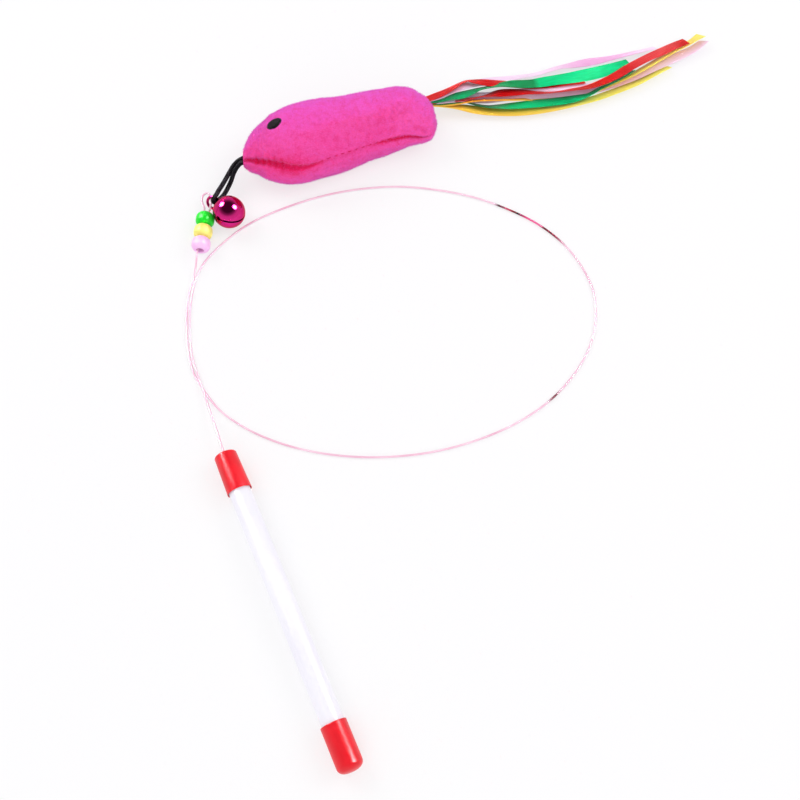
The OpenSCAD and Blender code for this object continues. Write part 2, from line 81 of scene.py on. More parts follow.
# %% [markdown]
# ## Curves, skins and turned shapes
#
# Most pieces of this toy are either drawn along a path, such as the wire, the
# elastic and the ribbons, or turned about an axis, such as the caps. A few
# small helpers make both. All sizes below are in millimetres, as on a drawing,
# and become metres when a mesh is made.

# %% A smooth path with even steps
MM = 0.001


def unit(v):
    v = np.asarray(v, float)
    return v / np.linalg.norm(v)


def run_along(path):
    """The distance along a path at each of its points, starting at 0."""
    return np.concatenate([[0], np.cumsum(np.linalg.norm(np.diff(path, axis=0), axis=1))])


def smooth_path(points, step):
    """Points `step` apart on one smooth curve through the given ones."""
    p = np.array(points, float)
    at = run_along(p)
    slope = np.gradient(p, at, axis=0)
    s = np.linspace(0, at[-1], int(at[-1] / step * 4) + 2)
    i = np.clip(np.searchsorted(at, s, side="right") - 1, 0, len(p) - 2)
    h = (at[i + 1] - at[i])[:, None]
    t = (s - at[i])[:, None] / h
    fine = ((2 * t**3 - 3 * t**2 + 1) * p[i] + (t**3 - 2 * t**2 + t) * h * slope[i]
            + (3 * t**2 - 2 * t**3) * p[i + 1] + (t**3 - t**2) * h * slope[i + 1])
    run = run_along(fine)
    even = np.linspace(0, run[-1], max(2, round(run[-1] / step) + 1))
    return np.stack([np.interp(even, run, fine[:, k]) for k in range(3)], 1)


def path_length(path):
    return float(np.linalg.norm(np.diff(path, axis=0), axis=1).sum())


def hill(x, middle, width):
    """1 at the middle, and falling off smoothly within about a width on both sides."""
    return np.exp(-((x - middle) / width) ** 2)


print("a half circle of radius 10 mm comes to",
      round(path_length(smooth_path([(10 * math.cos(a), 10 * math.sin(a), 0)
                                     for a in np.linspace(0, math.pi, 9)], 0.5)), 2), "mm")


# %% A side direction at each point of a path
def path_frames(path, first_side):
    """Tangent, side and up at each point, carried along the path with no twist."""
    tangent = np.gradient(path, axis=0)
    tangent /= np.linalg.norm(tangent, axis=1)[:, None]
    side, sides = np.asarray(first_side, float), []
    for t in tangent:
        side = unit(side - t * (side @ t))
        sides.append(side)
    sides = np.array(sides)
    return tangent, sides, np.cross(tangent, sides)


# %% A closed skin over rings of points, with a UV map
def new_object(name, mesh):
    made = bpy.data.objects.new(name, mesh)
    bpy.context.scene.collection.objects.link(made)
    return made


def face_out(mesh):
    """Turns the faces of a closed mesh outwards, judged by its volume."""
    bm = bmesh.new()
    bm.from_mesh(mesh)
    if bm.calc_volume(signed=True) < 0:
        bmesh.ops.reverse_faces(bm, faces=bm.faces)
    bm.to_mesh(mesh)
    bm.free()


def store(mesh, label, values):
    """Keeps one number per point of a mesh under a name that a shader can read."""
    mesh.attributes.new(label, "FLOAT", "POINT").data.foreach_set("value", values)


def skin(name, rings, along=None, looped=False, sharp_angle=50.0):
    """A mesh over rows of ring points; the ends are closed, or joined if looped."""
    rings = np.asarray(rings, float)
    rows, cols = rings.shape[:2]
    along = np.arange(rows) / (rows - 1) if along is None else np.asarray(along, float)
    faces, uvs = [], []
    for i in range(rows if looped else rows - 1):
        n = (i + 1) % rows
        for j in range(cols):
            m = (j + 1) % cols
            faces.append((i * cols + j, i * cols + m, n * cols + m, n * cols + j))
            u0, u1 = along[i], along[n] if n else 1.0
            v0, v1 = j / cols, (j + 1) / cols
            uvs += [(u0, v0), (u0, v1), (u1, v1), (u1, v0)]
    if not looped:
        for row, order in ((0, -1), (rows - 1, 1)):
            faces.append(tuple(row * cols + j for j in range(cols)[::order]))
            uvs += [(along[row], j / cols) for j in range(cols)[::order]]
    mesh = bpy.data.meshes.new(name)
    mesh.from_pydata((rings.reshape(-1, 3) * MM).tolist(), [], faces)
    mesh.uv_layers.new(name="UVMap").data.foreach_set("uv", np.array(uvs, float).ravel())
    face_out(mesh)
    mesh.shade_smooth()
    mesh.set_sharp_from_angle(angle=math.radians(sharp_angle))
    return new_object(name, mesh)


# %% A round cord along a path
UP = (0, 0, 1)
END_OUT, END_NARROW = 0.35, 0.55


def cord_skin(name, path, radius, sides, relief=None):
    """A tube with low domed ends; relief(run, turn) gives the radius's share at a place."""
    tangent, side, up = path_frames(path, UP)
    run = run_along(path)
    turn = np.arange(sides) / sides
    around = turn * 2 * math.pi
    share = np.ones((len(path), sides)) if relief is None else relief(run[:, None], turn[None])
    reach = radius * share
    rings = (path[:, None] + (reach * np.cos(around))[..., None] * side[:, None]
             + (reach * np.sin(around))[..., None] * up[:, None])
    first = path[:1] - END_OUT * radius * tangent[:1] + END_NARROW * (rings[0] - path[0])
    last = path[-1:] + END_OUT * radius * tangent[-1:] + END_NARROW * (rings[-1] - path[-1])
    rings = np.concatenate([first[None], rings, last[None]])
    run = np.concatenate([[0], run, run[-1:]]) / run[-1]
    return skin(name, rings, run)


# %% A solid turned about an axis
def quarter(x, y, r, a, b, steps):
    """Points of a round corner about (x, y), from angle a to b in degrees."""
    return [(x + r * math.cos(math.radians(t)), y + r * math.sin(math.radians(t)))
            for t in np.linspace(a, b, steps + 1)]


def turned(name, outline, origin, axis, side, sides=96):
    """A solid turned about an axis from a closed outline of (radius, height) points."""
    axis, side = unit(axis), unit(side)
    third = np.cross(axis, side)
    outline = np.array(outline, float)
    outline[:, 0] = np.maximum(outline[:, 0], 1e-3)
    a = np.arange(sides) * 2 * math.pi / sides
    ring = np.cos(a)[:, None] * side + np.sin(a)[:, None] * third
    rings = np.asarray(origin, float) + outline[:, 1, None, None] * axis \
        + outline[:, 0, None, None] * ring[None]
    return skin(name, rings, looped=True, sharp_angle=35.0)


# %% [markdown]
# ## The wire
#
# A thin spring wire with a pink coating leaves the front cap, makes one round
# of the loop on the floor and climbs into the beads. A spring wire keeps one
# smooth curve, so it is a tube along a smooth path through the CAD route. The
# photo shows all of it, so its length is the length of that path.

# %% The wire's route on the floor
WIRE_R = 0.5
AIM = np.array([-0.406737, 0.913545, 0])
WIRE_EXIT = np.array([-111, -55, 5.6])
STACK_NEAR, STACK_TURN = np.array([-130.7, 52.0]), math.radians(-3.6)
BEAD_R, BEAD_LEN, BEAD_BORE, BEAD_PITCH = 4.6, 7.1, 1.8, 7.15
STACK_LEN = 3 * BEAD_PITCH - 0.05
LEG_W = BEAD_BORE - WIRE_R - 0.1


def stack_pt(side, along, above):
    """A point of the bead stack: to its right, along its axis and above it."""
    c, s = math.cos(STACK_TURN), math.sin(STACK_TURN)
    return [STACK_NEAR[0] + side * c - along * s, STACK_NEAR[1] + side * s + along * c,
            BEAD_R + above]


WIRE_ROUTE = [
    (-113.3, -49.5, 5.3), (-115.5, -43.5, 4.4), (-118.5, -36, 3.1), (-121.4, -28.5, 2.1),
    (-124.2, -21, 1.7), (-127.3, -13.5, 1.4), (-130, -6, 1), (-132.1, 3, 0.5),
    (-133.2, 12, 0.5), (-133.8, 24, 0.5), (-133.3, 32, 0.5), (-132, 40, 0.5),
    (-129.2, 47.3, 0.5), (-124.5, 54.2, 0.5), (-119.2, 60.4, 0.5), (-113, 66.4, 0.5),
    (-105, 72.3, 0.5), (-95.5, 77.5, 0.5), (-83, 83, 0.5), (-68, 88, 0.5),
    (-50, 91.5, 0.5), (-32.5, 92.5, 0.5), (-14, 90.5, 0.5), (3, 86.5, 0.5),
    (20, 79.5, 0.5), (36.5, 69.5, 0.5), (49, 57, 0.5), (57, 43, 0.5), (60.5, 32, 0.5),
    (61, 21, 0.5), (59.5, 10, 0.5), (55.5, -1, 0.5), (47.5, -14, 0.5), (36, -26.5, 0.5),
    (20.5, -37.5, 0.5), (2, -46, 0.5), (-17, -51.5, 0.5), (-36, -54, 0.5),
    (-55, -54, 0.5), (-73, -51.5, 0.5), (-90, -46.5, 0.5), (-104.5, -39.5, 0.5),
    (-115.5, -31.5, 0.5), (-124, -21, 0.5), (-129, -13, 0.5), (-132, -4, 0.5),
    (-134, 6, 0.5), (-135, 17, 0.5), (-135.3, 26, 0.5), (-134.6, 33, 0.5),
    (-133.6, 38, 0.7), (-132.9, 42, 1.7), (-132.3, 46.5, 3.3)]
WIRE_END = stack_pt(-LEG_W, 0, 0)
wire_path = smooth_path(
    [WIRE_EXIT, WIRE_EXIT + 2 * AIM] + WIRE_ROUTE + [stack_pt(-LEG_W, -2, 0), WIRE_END], 1.5)
wire_path[:, 2] = np.maximum(wire_path[:, 2], WIRE_R)
print("the free wire is", round(path_length(wire_path)), "mm long")

wire_skin = cord_skin("spring_wire", wire_path, WIRE_R, 12)
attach(wire_skin, "wand")
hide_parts("wire")

# %% [markdown]
# ## The wire's eye
#
# Past the last bead the wire bends round into an eye, and its end goes back
# down through the beads, so the doubled wire fills the holes and the beads
# stay put. The bell's ring hangs in this eye.

# %% Make the eye and the two legs in the beads
EYE_LEN, EYE_SIDE, EYE_RISE = 11.8, 2.45, 3.4
EYE_BEND = [
    (-0.5, 0.09, -0.03), (-0.6, 0.31, -0.12), (-1.15, 0.56, -0.3), (-1.5, 0.77, -0.35),
    (-1.33, 0.94, -0.2), (-0.75, 1, 0.1), (-0.12, 0.95, 0.42), (0.42, 0.79, 0.72),
    (0.82, 0.6, 0.94), (1, 0.42, 1), (0.98, 0.27, 1), (0.85, 0.12, 0.6), (0.5, 0.05, 0.03)]
eye_path = smooth_path(
    [WIRE_END, stack_pt(-LEG_W, STACK_LEN - 1, 0)]
    + [stack_pt(a * EYE_SIDE, STACK_LEN + b * EYE_LEN, c * EYE_RISE) for a, b, c in EYE_BEND]
    + [stack_pt(LEG_W, STACK_LEN - 1, 0), stack_pt(LEG_W, 0.1 * STACK_LEN, 0)], 0.4)
wire_loop = cord_skin("wire_loop", eye_path, WIRE_R, 16)
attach(wire_loop, "wand")
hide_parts("wire_eye")
print("the doubled end is", round(path_length(eye_path)), "mm long")

# %% [markdown]
# ## The elastic
#
# A round black elastic ties the fish to the bell. It comes out of the mouth,
# goes round a leg of the bell's ring and back, so two strands lie side by side.
# Such a cord is braided round a rubber core. The braid is a real relief on the
# tube: two sets of threads that wind opposite ways and pass over each other.

# %% The elastic's path and its braid
ELASTIC_R = 1.15
STRAND_OVER = [
    (-108, 105.3, 11), (-112, 102.1, 11.2), (-114, 101.4, 10.4), (-116.5, 99.7, 9),
    (-118.6, 96.7, 7.6), (-120.3, 92.7, 7.4), (-121.8, 88, 8.3), (-123, 83.8, 9.7)]
ROUND_LEG = [
    (-123.927, 79.053, 11.794), (-124.475, 78.209, 11.706), (-124.925, 77.516, 11.127),
    (-125.158, 77.158, 10.212), (-125.11, 77.232, 9.207), (-124.794, 77.717, 8.38),
    (-124.296, 78.485, 7.953)]
STRAND_UNDER = [
    (-121.3, 84.8, 4.6), (-119.6, 88.8, 4.7), (-118, 92.5, 5.7), (-116.8, 95.8, 7.2),
    (-115.1, 98.2, 8.9), (-113.2, 99.5, 10.3), (-111, 100, 11.1), (-106.5, 103.3, 11)]
BRAID_PITCH, BRAID_STRANDS, BRAID_RELIEF = 4.2, 8, 0.035


def braid(run, turn):
    """Two opposite windings of threads, each over the other in turn."""
    one = np.cos(2 * math.pi * (BRAID_STRANDS * turn + BRAID_STRANDS * run / BRAID_PITCH))
    two = np.cos(2 * math.pi * (BRAID_STRANDS * turn - BRAID_STRANDS * run / BRAID_PITCH))
    return 1 + BRAID_RELIEF * (np.maximum(one, two) - 0.4)


elastic_path = smooth_path(STRAND_OVER + ROUND_LEG + STRAND_UNDER, 0.16)
elastic = cord_skin("braided_elastic", elastic_path, ELASTIC_R, 48, relief=braid)
print("the elastic is", round(path_length(elastic_path)), "mm long")

# %% Keep the elastic where it lies, with the centres of the ring's leg and the knot
LEG_C, KNOT_C = np.array([-124.112, 78.769, 9.874]), np.array([-105, 106, 11.0])
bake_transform(elastic)
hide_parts("elastic_loop")

# %% [markdown]
# ## The ribbons
#
# Eight satin ribbons, 6.6 mm wide, are sewn to the tail and trail to the right.
# Limp satin never lies flat: it rolls about its own length, so here it faces us
# and there it stands nearly on edge and looks thin. Each ribbon is noted as it
# is seen: where its middle lies in the photo, how wide it looks there, how high
# it rides, and how much painted shade it takes there, a darker colour painted
# along its length. The camera's own geometry turns that into a place and a roll,
# so the real width stays 6.6 mm everywhere. At the tail all eight start close
# together on the sewn root.

# %% From a place in the photo to a place in space
CAMERA_AT = np.array(CAMERA_PLACE) / MM
PITCH = math.radians(LOOK_DOWN)
VIEW_RIGHT = np.array([1.0, 0.0, 0.0])
VIEW_UP = np.array([0, math.sin(PITCH), math.cos(PITCH)])
VIEW_FORWARD = np.array([0, math.cos(PITCH), -math.sin(PITCH)])


def sight(px, py):
    """The direction in which a place of the photo is seen."""
    return unit(VIEW_FORWARD + VIEW_RIGHT * (px - HALF_WIDTH_PX) / FOCAL_PX
                + VIEW_UP * (HALF_WIDTH_PX - py) / FOCAL_PX)


def seen_at(px, py, height):
    """The place in mm that is seen there, at a height above the floor."""
    way = sight(px, py)
    return CAMERA_AT + way * (height - CAMERA_AT[2]) / way[2]


def in_photo(point):
    """Where a place in mm shows in the photo."""
    away = np.asarray(point, float) - CAMERA_AT
    scale = FOCAL_PX / (away @ VIEW_FORWARD)
    return np.array([HALF_WIDTH_PX + scale * (away @ VIEW_RIGHT),
                     HALF_WIDTH_PX - scale * (away @ VIEW_UP)])


print("the bell's centre shows at", np.round(in_photo((-117.4, 72.2, 8)), 1))

# %% How each ribbon runs: (across, down, width seen, height in mm, painted shade)
ROOT_SEEN = (427, 101.5, 7.4)
ROOT_OUT = np.array([0.823776, 0.566916, 0])
RIBBON_W, RIBBON_T = 6.6, 0.16
RIBBONS = {
    "yellow_long": [
        (441, 105.5, 3, 5, 0.2), (452, 106.6, 3.5, 4.4, 0.5), (462, 107.3, 6, 3.8, 0.6),
        (472, 109, 7.5, 3, 0.6), (482, 110.4, 8, 2.4, 0.6), (500, 112, 7.3, 1.9, 0.6),
        (515, 112.2, 7.2, 1.6, 0.55), (531, 111.2, 7, 1.5, 0.5), (550, 108.6, 6.5, 1.5, 0.45),
        (566, 105.5, 6, 1.5, 0.3), (580, 102.3, 5.5, 1.6, 0.15), (597, 97.6, 6, 1.6, 0),
        (610, 93, 6, 1.6, 0), (622, 88.5, 6, 1.6, 0), (635, 83.4, 6, 1.6, 0),
        (647, 77.3, 6.2, 1.6, 0), (660, 70.3, 6.2, 1.5, 0), (668, 66.4, 6, 1.5, 0)],
    "green_low": [
        (441, 103.2, 3, 4.6, 0.6), (454, 102.4, 2, 3.8, 0.8), (466, 102, 1.8, 3.4, 1),
        (476, 104.6, 2, 3.2, 1), (488, 106.5, 2.4, 3, 1), (500, 106.4, 4.2, 2.8, 0.4),
        (512, 105.7, 6, 2.6, 0.15), (530, 104, 7.3, 2.4, 0.1), (550, 102, 7.5, 2.4, 0.3),
        (566, 100, 7.5, 2.4, 0.5), (580, 96.8, 6.5, 2.5, 0.2), (590, 93, 5.2, 2.6, 0.4),
        (599, 88, 4, 2.7, 0.6), (610, 83, 4, 2.6, 0.6), (622, 76.5, 4, 2.5, 0.6),
        (632, 70.5, 4, 2.4, 0.6)],
    "pink_low": [
        (441, 102, 3, 5.6, 0), (452, 100.4, 4, 4.6, 0), (464, 98.8, 6, 3.6, 0.1),
        (476, 97.8, 10.5, 2.8, 0), (488, 97.6, 11, 2.3, 0), (500, 96, 11, 2.1, 0),
        (512, 94.6, 11, 2, 0), (530, 93.6, 11, 2, 0), (550, 92.4, 11, 2, 0),
        (570, 90.4, 10.5, 2, 0), (585, 88.6, 10, 2, 0.1), (598, 87.4, 9.5, 1.9, 0.2),
        (610, 84.5, 9, 1.8, 0.3), (622, 80.5, 9, 1.8, 0.3), (634, 76, 9, 1.8, 0.2),
        (646, 70.6, 9, 1.8, 0.1), (658, 65, 9, 1.7, 0), (670, 60, 9, 1.7, 0),
        (682, 54.5, 9, 1.7, 0), (694, 48.5, 8.5, 1.8, 0), (704, 41, 7.5, 2, 0.2)],
    "pink_back": [
        (438, 97.5, 4, 7.4, 0), (450, 91.5, 6, 7, 0), (463, 86.3, 7.5, 6.2, 0),
        (476, 83.2, 6.5, 2.9, 0), (490, 81.2, 7.5, 1.3, 0), (505, 79.6, 6.5, 1.3, 0),
        (520, 76.6, 3.6, 2.1, 0), (534, 74.6, 3.4, 2.1, 0), (547, 71, 3, 2.1, 0.1),
        (559, 67.3, 3.4, 2.1, 0.3), (572, 65, 5.5, 1.8, 0.6), (586, 62.4, 7.4, 1.5, 0.75),
        (600, 60, 6, 1.6, 0.75), (615, 57, 4, 1.9, 0.7), (630, 53.6, 3, 2.1, 0.5),
        (643, 50.6, 2.6, 2.2, 0.2), (655, 47.8, 3, 2.2, 0)],
    "red_folded": [
        (436, 95.8, 6.5, 8.2, 0.85), (450, 89.2, 5, 7.8, 0.75), (461, 83, 2, 7, 0.8),
        (467, 81, 1.5, 6.2, 1), (476, 81.6, 4.5, 5.9, 1), (488, 82.8, 6.5, 5, 1),
        (500, 83.4, 6, 3.6, 1), (515, 84.5, 6, 2.8, 1), (530, 85.4, 6, 2.2, 1),
        (548, 84.8, 5.4, 2, 1), (566, 82.8, 5, 1.8, 1), (584, 80.8, 5, 1.7, 1)],
    "yellow_thin": [
        (441, 103.8, 5, 5.4, 0.6), (452, 103, 5, 4.8, 0.7), (462, 102, 3, 4.4, 0.9),
        (472, 100.8, 1.8, 4.2, 1), (484, 100, 1.6, 4, 1), (500, 99.7, 1.5, 3.6, 1),
        (516, 99.2, 3, 2.2, 0.8), (532, 96.8, 8, 0.7, 0.4), (552, 95.6, 8, 0.6, 0.4),
        (575, 92.4, 8, 0.7, 0.4), (595, 88.6, 7, 1.4, 0.4), (612, 83, 4.6, 3.2, 0.3),
        (630, 75.3, 4.6, 3.4, 0.2), (647, 66.2, 5, 3.4, 0.1), (660, 58.6, 5, 3.3, 0.2),
        (673, 51.2, 5, 3.2, 0.4), (686, 44.5, 5, 3, 0.5), (694, 39.8, 6, 2.8, 0.2),
        (701, 35.2, 8.5, 2.6, 0)],
    "green_wide": [
        (439, 100, 4.5, 6.6, 0.8), (450, 97, 5.8, 6.2, 0.7), (462, 94.8, 7.5, 5.8, 0.6),
        (470, 92.2, 6, 5.6, 0.7), (479, 89, 3.2, 5.5, 0.9), (488, 87.2, 2.4, 5.4, 1),
        (500, 85, 4.2, 5.4, 1), (512, 84, 7, 5.2, 1), (524, 84, 8, 4.9, 1),
        (534, 83.4, 8.6, 4.6, 1), (539, 82.6, 9.5, 4.4, 0.05), (555, 80, 10, 4, 0),
        (570, 77.8, 11, 3.6, 0), (585, 75.2, 12.4, 3.2, 0), (600, 71.8, 12.4, 2.9, 0),
        (615, 67.5, 11, 2.7, 0.1), (629, 62.8, 9, 2.5, 0.2)],
    "red_long": [
        (441, 101.5, 4, 5.2, 0.8), (455, 100, 4, 4.4, 0.8), (469, 98.4, 3, 4.2, 0.8),
        (481, 96.4, 1, 4.2, 0.9), (490, 94.6, 4, 4, 0.9), (500, 93, 7, 3.7, 0.9),
        (510, 92.2, 7, 3.7, 0.9), (525, 91.8, 4.5, 3.8, 0.9), (537, 92.3, 2.6, 4, 0.9),
        (550, 92.2, 1.4, 4.1, 0.9), (562, 91, 1.4, 4.2, 0.9), (574, 89.2, 2.4, 4.3, 0.9),
        (585, 87.6, 3.6, 4.6, 0.9), (593, 85.6, 5, 5, 1), (601, 82.6, 6.4, 5.3, 1),
        (610, 78.6, 7.5, 5.5, 0.95), (619, 73.8, 8.8, 5.5, 0.8), (628, 68, 9.2, 5.4, 0.75),
        (637, 63, 8.5, 5.1, 0.4), (648, 57.4, 8.2, 4.7, 0.05), (660, 52, 8.5, 4.4, 0),
        (672, 46.4, 7.6, 4.1, 0.2), (680, 43.2, 7.2, 3.9, 0.8), (686, 41, 7, 3.8, 0.9)]}


ROOT_FAN, ROOT_TUCK, LAYER_STEP = 0.45, 1.5, 0.3
MIDDLE_LAYER = (len(RIBBONS) - 1) / 2
EDGE_CURL, CURL_FROM_ROOT, CURL_WAVE, CURL_SHIFT = 0.3, 25, 13, 2.3
HEM_FROM, HEM_SHARE = 0.95, 1.3
ACROSS = np.linspace(-1, 1, 11)


def far_side(way):
    """The level direction across the ribbon that points away from the camera."""
    side = unit(np.array([-way[1], way[0], 0]))
    return side if side[1] > 0 else -side


def roll_for(place, way, wanted):
    """The roll in radians at which a ribbon looks as wide, measured straight down."""
    side, ahead = far_side(way), in_photo(place + 0.5 * way) - in_photo(place - 0.5 * way)
    slope = ahead[1] / ahead[0]

    def drop(across):
        d = in_photo(place - across) - in_photo(place + across)
        return d[1] - slope * d[0]
    level, upright = drop(side * RIBBON_W / 2), drop(np.array([0, 0, RIBBON_W / 2]))
    most = math.hypot(level, upright)
    return math.atan2(upright, level) - math.acos(min(1, wanted / most))


def ribbon_strip(name, layer, route):
    """A ribbon as a thin closed strip, and the line along its middle."""
    rows = np.array(route)
    start = seen_at(ROOT_SEEN[0], ROOT_SEEN[1] + ROOT_FAN * (rows[0, 1] - ROOT_SEEN[1]),
                    ROOT_SEEN[2] + LAYER_STEP * (layer - MIDDLE_LAYER))
    knots = [start - ROOT_OUT * ROOT_TUCK] + [seen_at(*row[[0, 1, 3]]) for row in rows]
    line = smooth_path(knots, 1.0)
    run = run_along(line)
    at = [run[np.argmin(np.linalg.norm(line - knot, axis=1))] for knot in knots]
    way = np.gradient(line, axis=0)
    way /= np.linalg.norm(way, axis=1)[:, None]
    knot_way = [way[np.argmin(np.linalg.norm(line - knot, axis=1))] for knot in knots]
    rolls = [roll_for(*three) for three in zip(knots[1:], knot_way[1:], rows[:, 2])]
    rolls = rolls[:1] + rolls
    roll = smooth_path([(s, r, 0) for s, r in zip(at, rolls)], 0.5)
    roll = np.interp(run, roll[:, 0], roll[:, 1])
    # Painted shade along the ribbon: a share that darkens the satin on both of its faces.
    back = np.interp(run, at, [rows[0, 4], *rows[:, 4]])
    half, rings = RIBBON_W / 2, []
    for k, p in enumerate(line):
        side = far_side(way[k]) if k else far_side(ROOT_OUT)
        across = side * math.cos(roll[k]) + np.array([0, 0, math.sin(roll[k])])
        up = np.cross(way[k], across)
        up = up if up[2] > 0 else -up
        curl = min(1, run[k] / CURL_FROM_ROOT) * EDGE_CURL * (
            0.5 + 0.5 * math.sin(run[k] / CURL_WAVE + CURL_SHIFT * layer))
        top, low = [], []
        for c in ACROSS:
            q = p + across * half * c + up * curl * (0.5 - c * c)
            thick = RIBBON_T / 2 * (HEM_SHARE if abs(c) > HEM_FROM else 1)
            q[2] = max(q[2], RIBBON_T)
            top.append(q + up * thick)
            low.append(q - up * thick)
        rings.append(low + top[::-1])
    made = skin(name, np.array(rings), run / RIBBON_W)
    store(made.data, "back", np.repeat(back, 2 * len(ACROSS)))
    return made, line


ribbon_objects = {}
for layer, (name, route) in enumerate(RIBBONS.items()):
    made, line = ribbon_strip("satin_" + name, layer, route)
    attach(made, "tassel")
    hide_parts("ribbon_" + name)
    ribbon_objects[name] = made
    print(name, "ribbon:", round(path_length(line)), "mm")

# %% [markdown]
# ## Building materials from nodes
#
# A material here is a small graph. `add` makes a node and fills its inputs,
# either with a value or with another node's output, so a graph reads from top
# to bottom. Effects that several finishes share are node groups: they give out
# colours, masks and heights, and the shader itself stays in each material.

# %% Node helpers
def add(tree, kind, inputs=None, **settings):
    made = tree.nodes.new(kind)
    for key, value in settings.items():
        setattr(made, key, value)
    for key, value in (inputs or {}).items():
        if isinstance(value, bpy.types.NodeSocket):
            tree.links.new(value, made.inputs[key])
        else:
            made.inputs[key].default_value = value
    return made


def math_node(tree, operation, *values, clamp=False):
    return add(tree, "ShaderNodeMath", dict(enumerate(values)), operation=operation,
               use_clamp=clamp).outputs[0]


def mix_colour(tree, share, a, b, blend="MIX"):
    made = tree.nodes.new("ShaderNodeMix")
    made.data_type, made.blend_type = "RGBA", blend
    for socket, value in ((made.inputs[0], share), (made.inputs[6], a), (made.inputs[7], b)):
        if isinstance(value, bpy.types.NodeSocket):
            tree.links.new(value, socket)
        else:
            socket.default_value = value
    return made.outputs[2]


def ramp(tree, factor, stops):
    made = add(tree, "ShaderNodeValToRGB", {0: factor})
    while len(made.color_ramp.elements) < len(stops):
        made.color_ramp.elements.new(0.5)
    for element, (place, colour) in zip(made.color_ramp.elements, sorted(stops)):
        element.position = place
        element.color = colour if len(colour) == 4 else (*colour, 1)
    return made.outputs[0]


def new_group(name, inputs, outputs):
    """A node group with (name, kind, default) inputs and (name, kind) outputs."""
    group = bpy.data.node_groups.new(name, "ShaderNodeTree")
    for label, kind, default in inputs:
        group.interface.new_socket(label, in_out="INPUT", socket_type=kind).default_value = default
    for label, kind in outputs:
        group.interface.new_socket(label, in_out="OUTPUT", socket_type=kind)
    given, out = group.nodes.new("NodeGroupInput"), group.nodes.new("NodeGroupOutput")
    return group, given.outputs, out.inputs


def use_group(tree, group, **inputs):
    made = tree.nodes.new("ShaderNodeGroup")
    made.node_tree = group
    for key, value in inputs.items():
        socket = made.inputs[key.replace("_", " ")]
        if isinstance(value, bpy.types.NodeSocket):
            tree.links.new(value, socket)
        else:
            socket.default_value = value
    return made.outputs


def new_material(name, **sockets):
    """A material with one Principled BSDF, whose own sockets take the plain values."""
    made = bpy.data.materials.new(name + "_finish")
    made.use_nodes = True
    shader = made.node_tree.nodes["Principled BSDF"]
    for key, value in sockets.items():
        shader.inputs[key.replace("_", " ")].default_value = value
    place = made.node_tree.nodes.new("ShaderNodeTexCoord")
    return made, made.node_tree, shader, place


def bump_on(tree, shader, height, strength, distance):
    """A fine relief on a shader's normal; the distance is in metres."""
    bump = add(tree, "ShaderNodeBump", {"Height": height, "Strength": strength,
                                        "Distance": distance})
    tree.links.new(bump.outputs[0], shader.inputs["Normal"])


def paint(made, material):
    made.data.materials.clear()
    made.data.materials.append(material)


COLOUR, VALUE, VECTOR = "NodeSocketColor", "NodeSocketFloat", "NodeSocketVector"
WHITE = (1, 1, 1, 1)
print("node helpers are ready")

# %% [markdown]
# ### Shared effect: moulded plastic
#
# Moulded and extruded plastic is never one flat colour. It has a slow drift of
# tone where the melt cooled, fine specks, and a faint ripple in the gloss. The
# same group serves the rod, the caps, the beads, the wire's coating and, with
# other numbers, the bell's plating.

# %% Moulded skin group
moulded, i, o = new_group(
    "Moulded skin",
    [("Vector", VECTOR, (0, 0, 0)), ("Colour", COLOUR, WHITE), ("Shade", COLOUR, WHITE),
     ("Scale", VALUE, 60.0), ("Gloss", VALUE, 0.25), ("Gloss drift", VALUE, 0.1)],
    [("Colour", COLOUR), ("Roughness", VALUE), ("Height", VALUE)])
drift = add(moulded, "ShaderNodeTexNoise", {"Vector": i["Vector"], "Scale": i["Scale"],
                                            "Detail": 3.0, "Roughness": 0.5})
speck = add(moulded, "ShaderNodeTexNoise", {
    "Vector": i["Vector"], "Scale": math_node(moulded, "MULTIPLY", i["Scale"], 28.0),
    "Detail": 2.0})
softly = add(moulded, "ShaderNodeMapRange", {
    "Value": drift.outputs[0], "From Min": 0.35, "From Max": 0.65})
moulded.links.new(mix_colour(moulded, softly.outputs[0], i["Shade"], i["Colour"]), o["Colour"])
moulded.links.new(math_node(moulded, "ADD", i["Gloss"], math_node(
    moulded, "MULTIPLY", i["Gloss drift"], softly.outputs[0])), o["Roughness"])
moulded.links.new(math_node(moulded, "ADD", drift.outputs[0], math_node(
    moulded, "MULTIPLY", speck.outputs[0], 0.06)), o["Height"])
print("group:", moulded.name)

# %% [markdown]
# ### Shared effect: handling wear
#
# A toy that is handled gets short fine scratches in all directions and a little
# dust. Two stretched noises, crossed, give the scratches a direction. The mask
# makes the gloss duller there.

# %% Handling wear group
wear, i, o = new_group(
    "Handling wear",
    [("Vector", VECTOR, (0, 0, 0)), ("Scale", VALUE, 120.0), ("Amount", VALUE, 0.3)],
    [("Mask", VALUE), ("Height", VALUE)])
marks = []
for turn in (0.4, 2.1):
    tilted = add(wear, "ShaderNodeMapping", {
        "Vector": i["Vector"], "Rotation": (turn, 0.7 * turn, turn), "Scale": (1, 14, 1)})
    scratch = add(wear, "ShaderNodeTexNoise", {
        "Vector": tilted.outputs[0], "Scale": i["Scale"], "Detail": 4.0, "Roughness": 0.7})
    marks.append(add(wear, "ShaderNodeMapRange", {
        "Value": scratch.outputs[0], "From Min": 0.62, "From Max": 0.72}).outputs[0])
both = math_node(wear, "MULTIPLY", math_node(wear, "MAXIMUM", *marks), i["Amount"], clamp=True)
wear.links.new(both, o["Mask"])
wear.links.new(math_node(wear, "MULTIPLY", both, -1.0), o["Height"])
print("group:", wear.name)

# %% [markdown]
# ### Shared effect: woven threads
#
# Satin shows long parallel threads that float over the cross threads, and sewn
# thread shows a twist. Both are fine waves over one measure along the piece and
# one across it, which the material takes from the UV map or from the place. The
# group gives a height for the bump and a shade for the small dark gaps between
# threads.

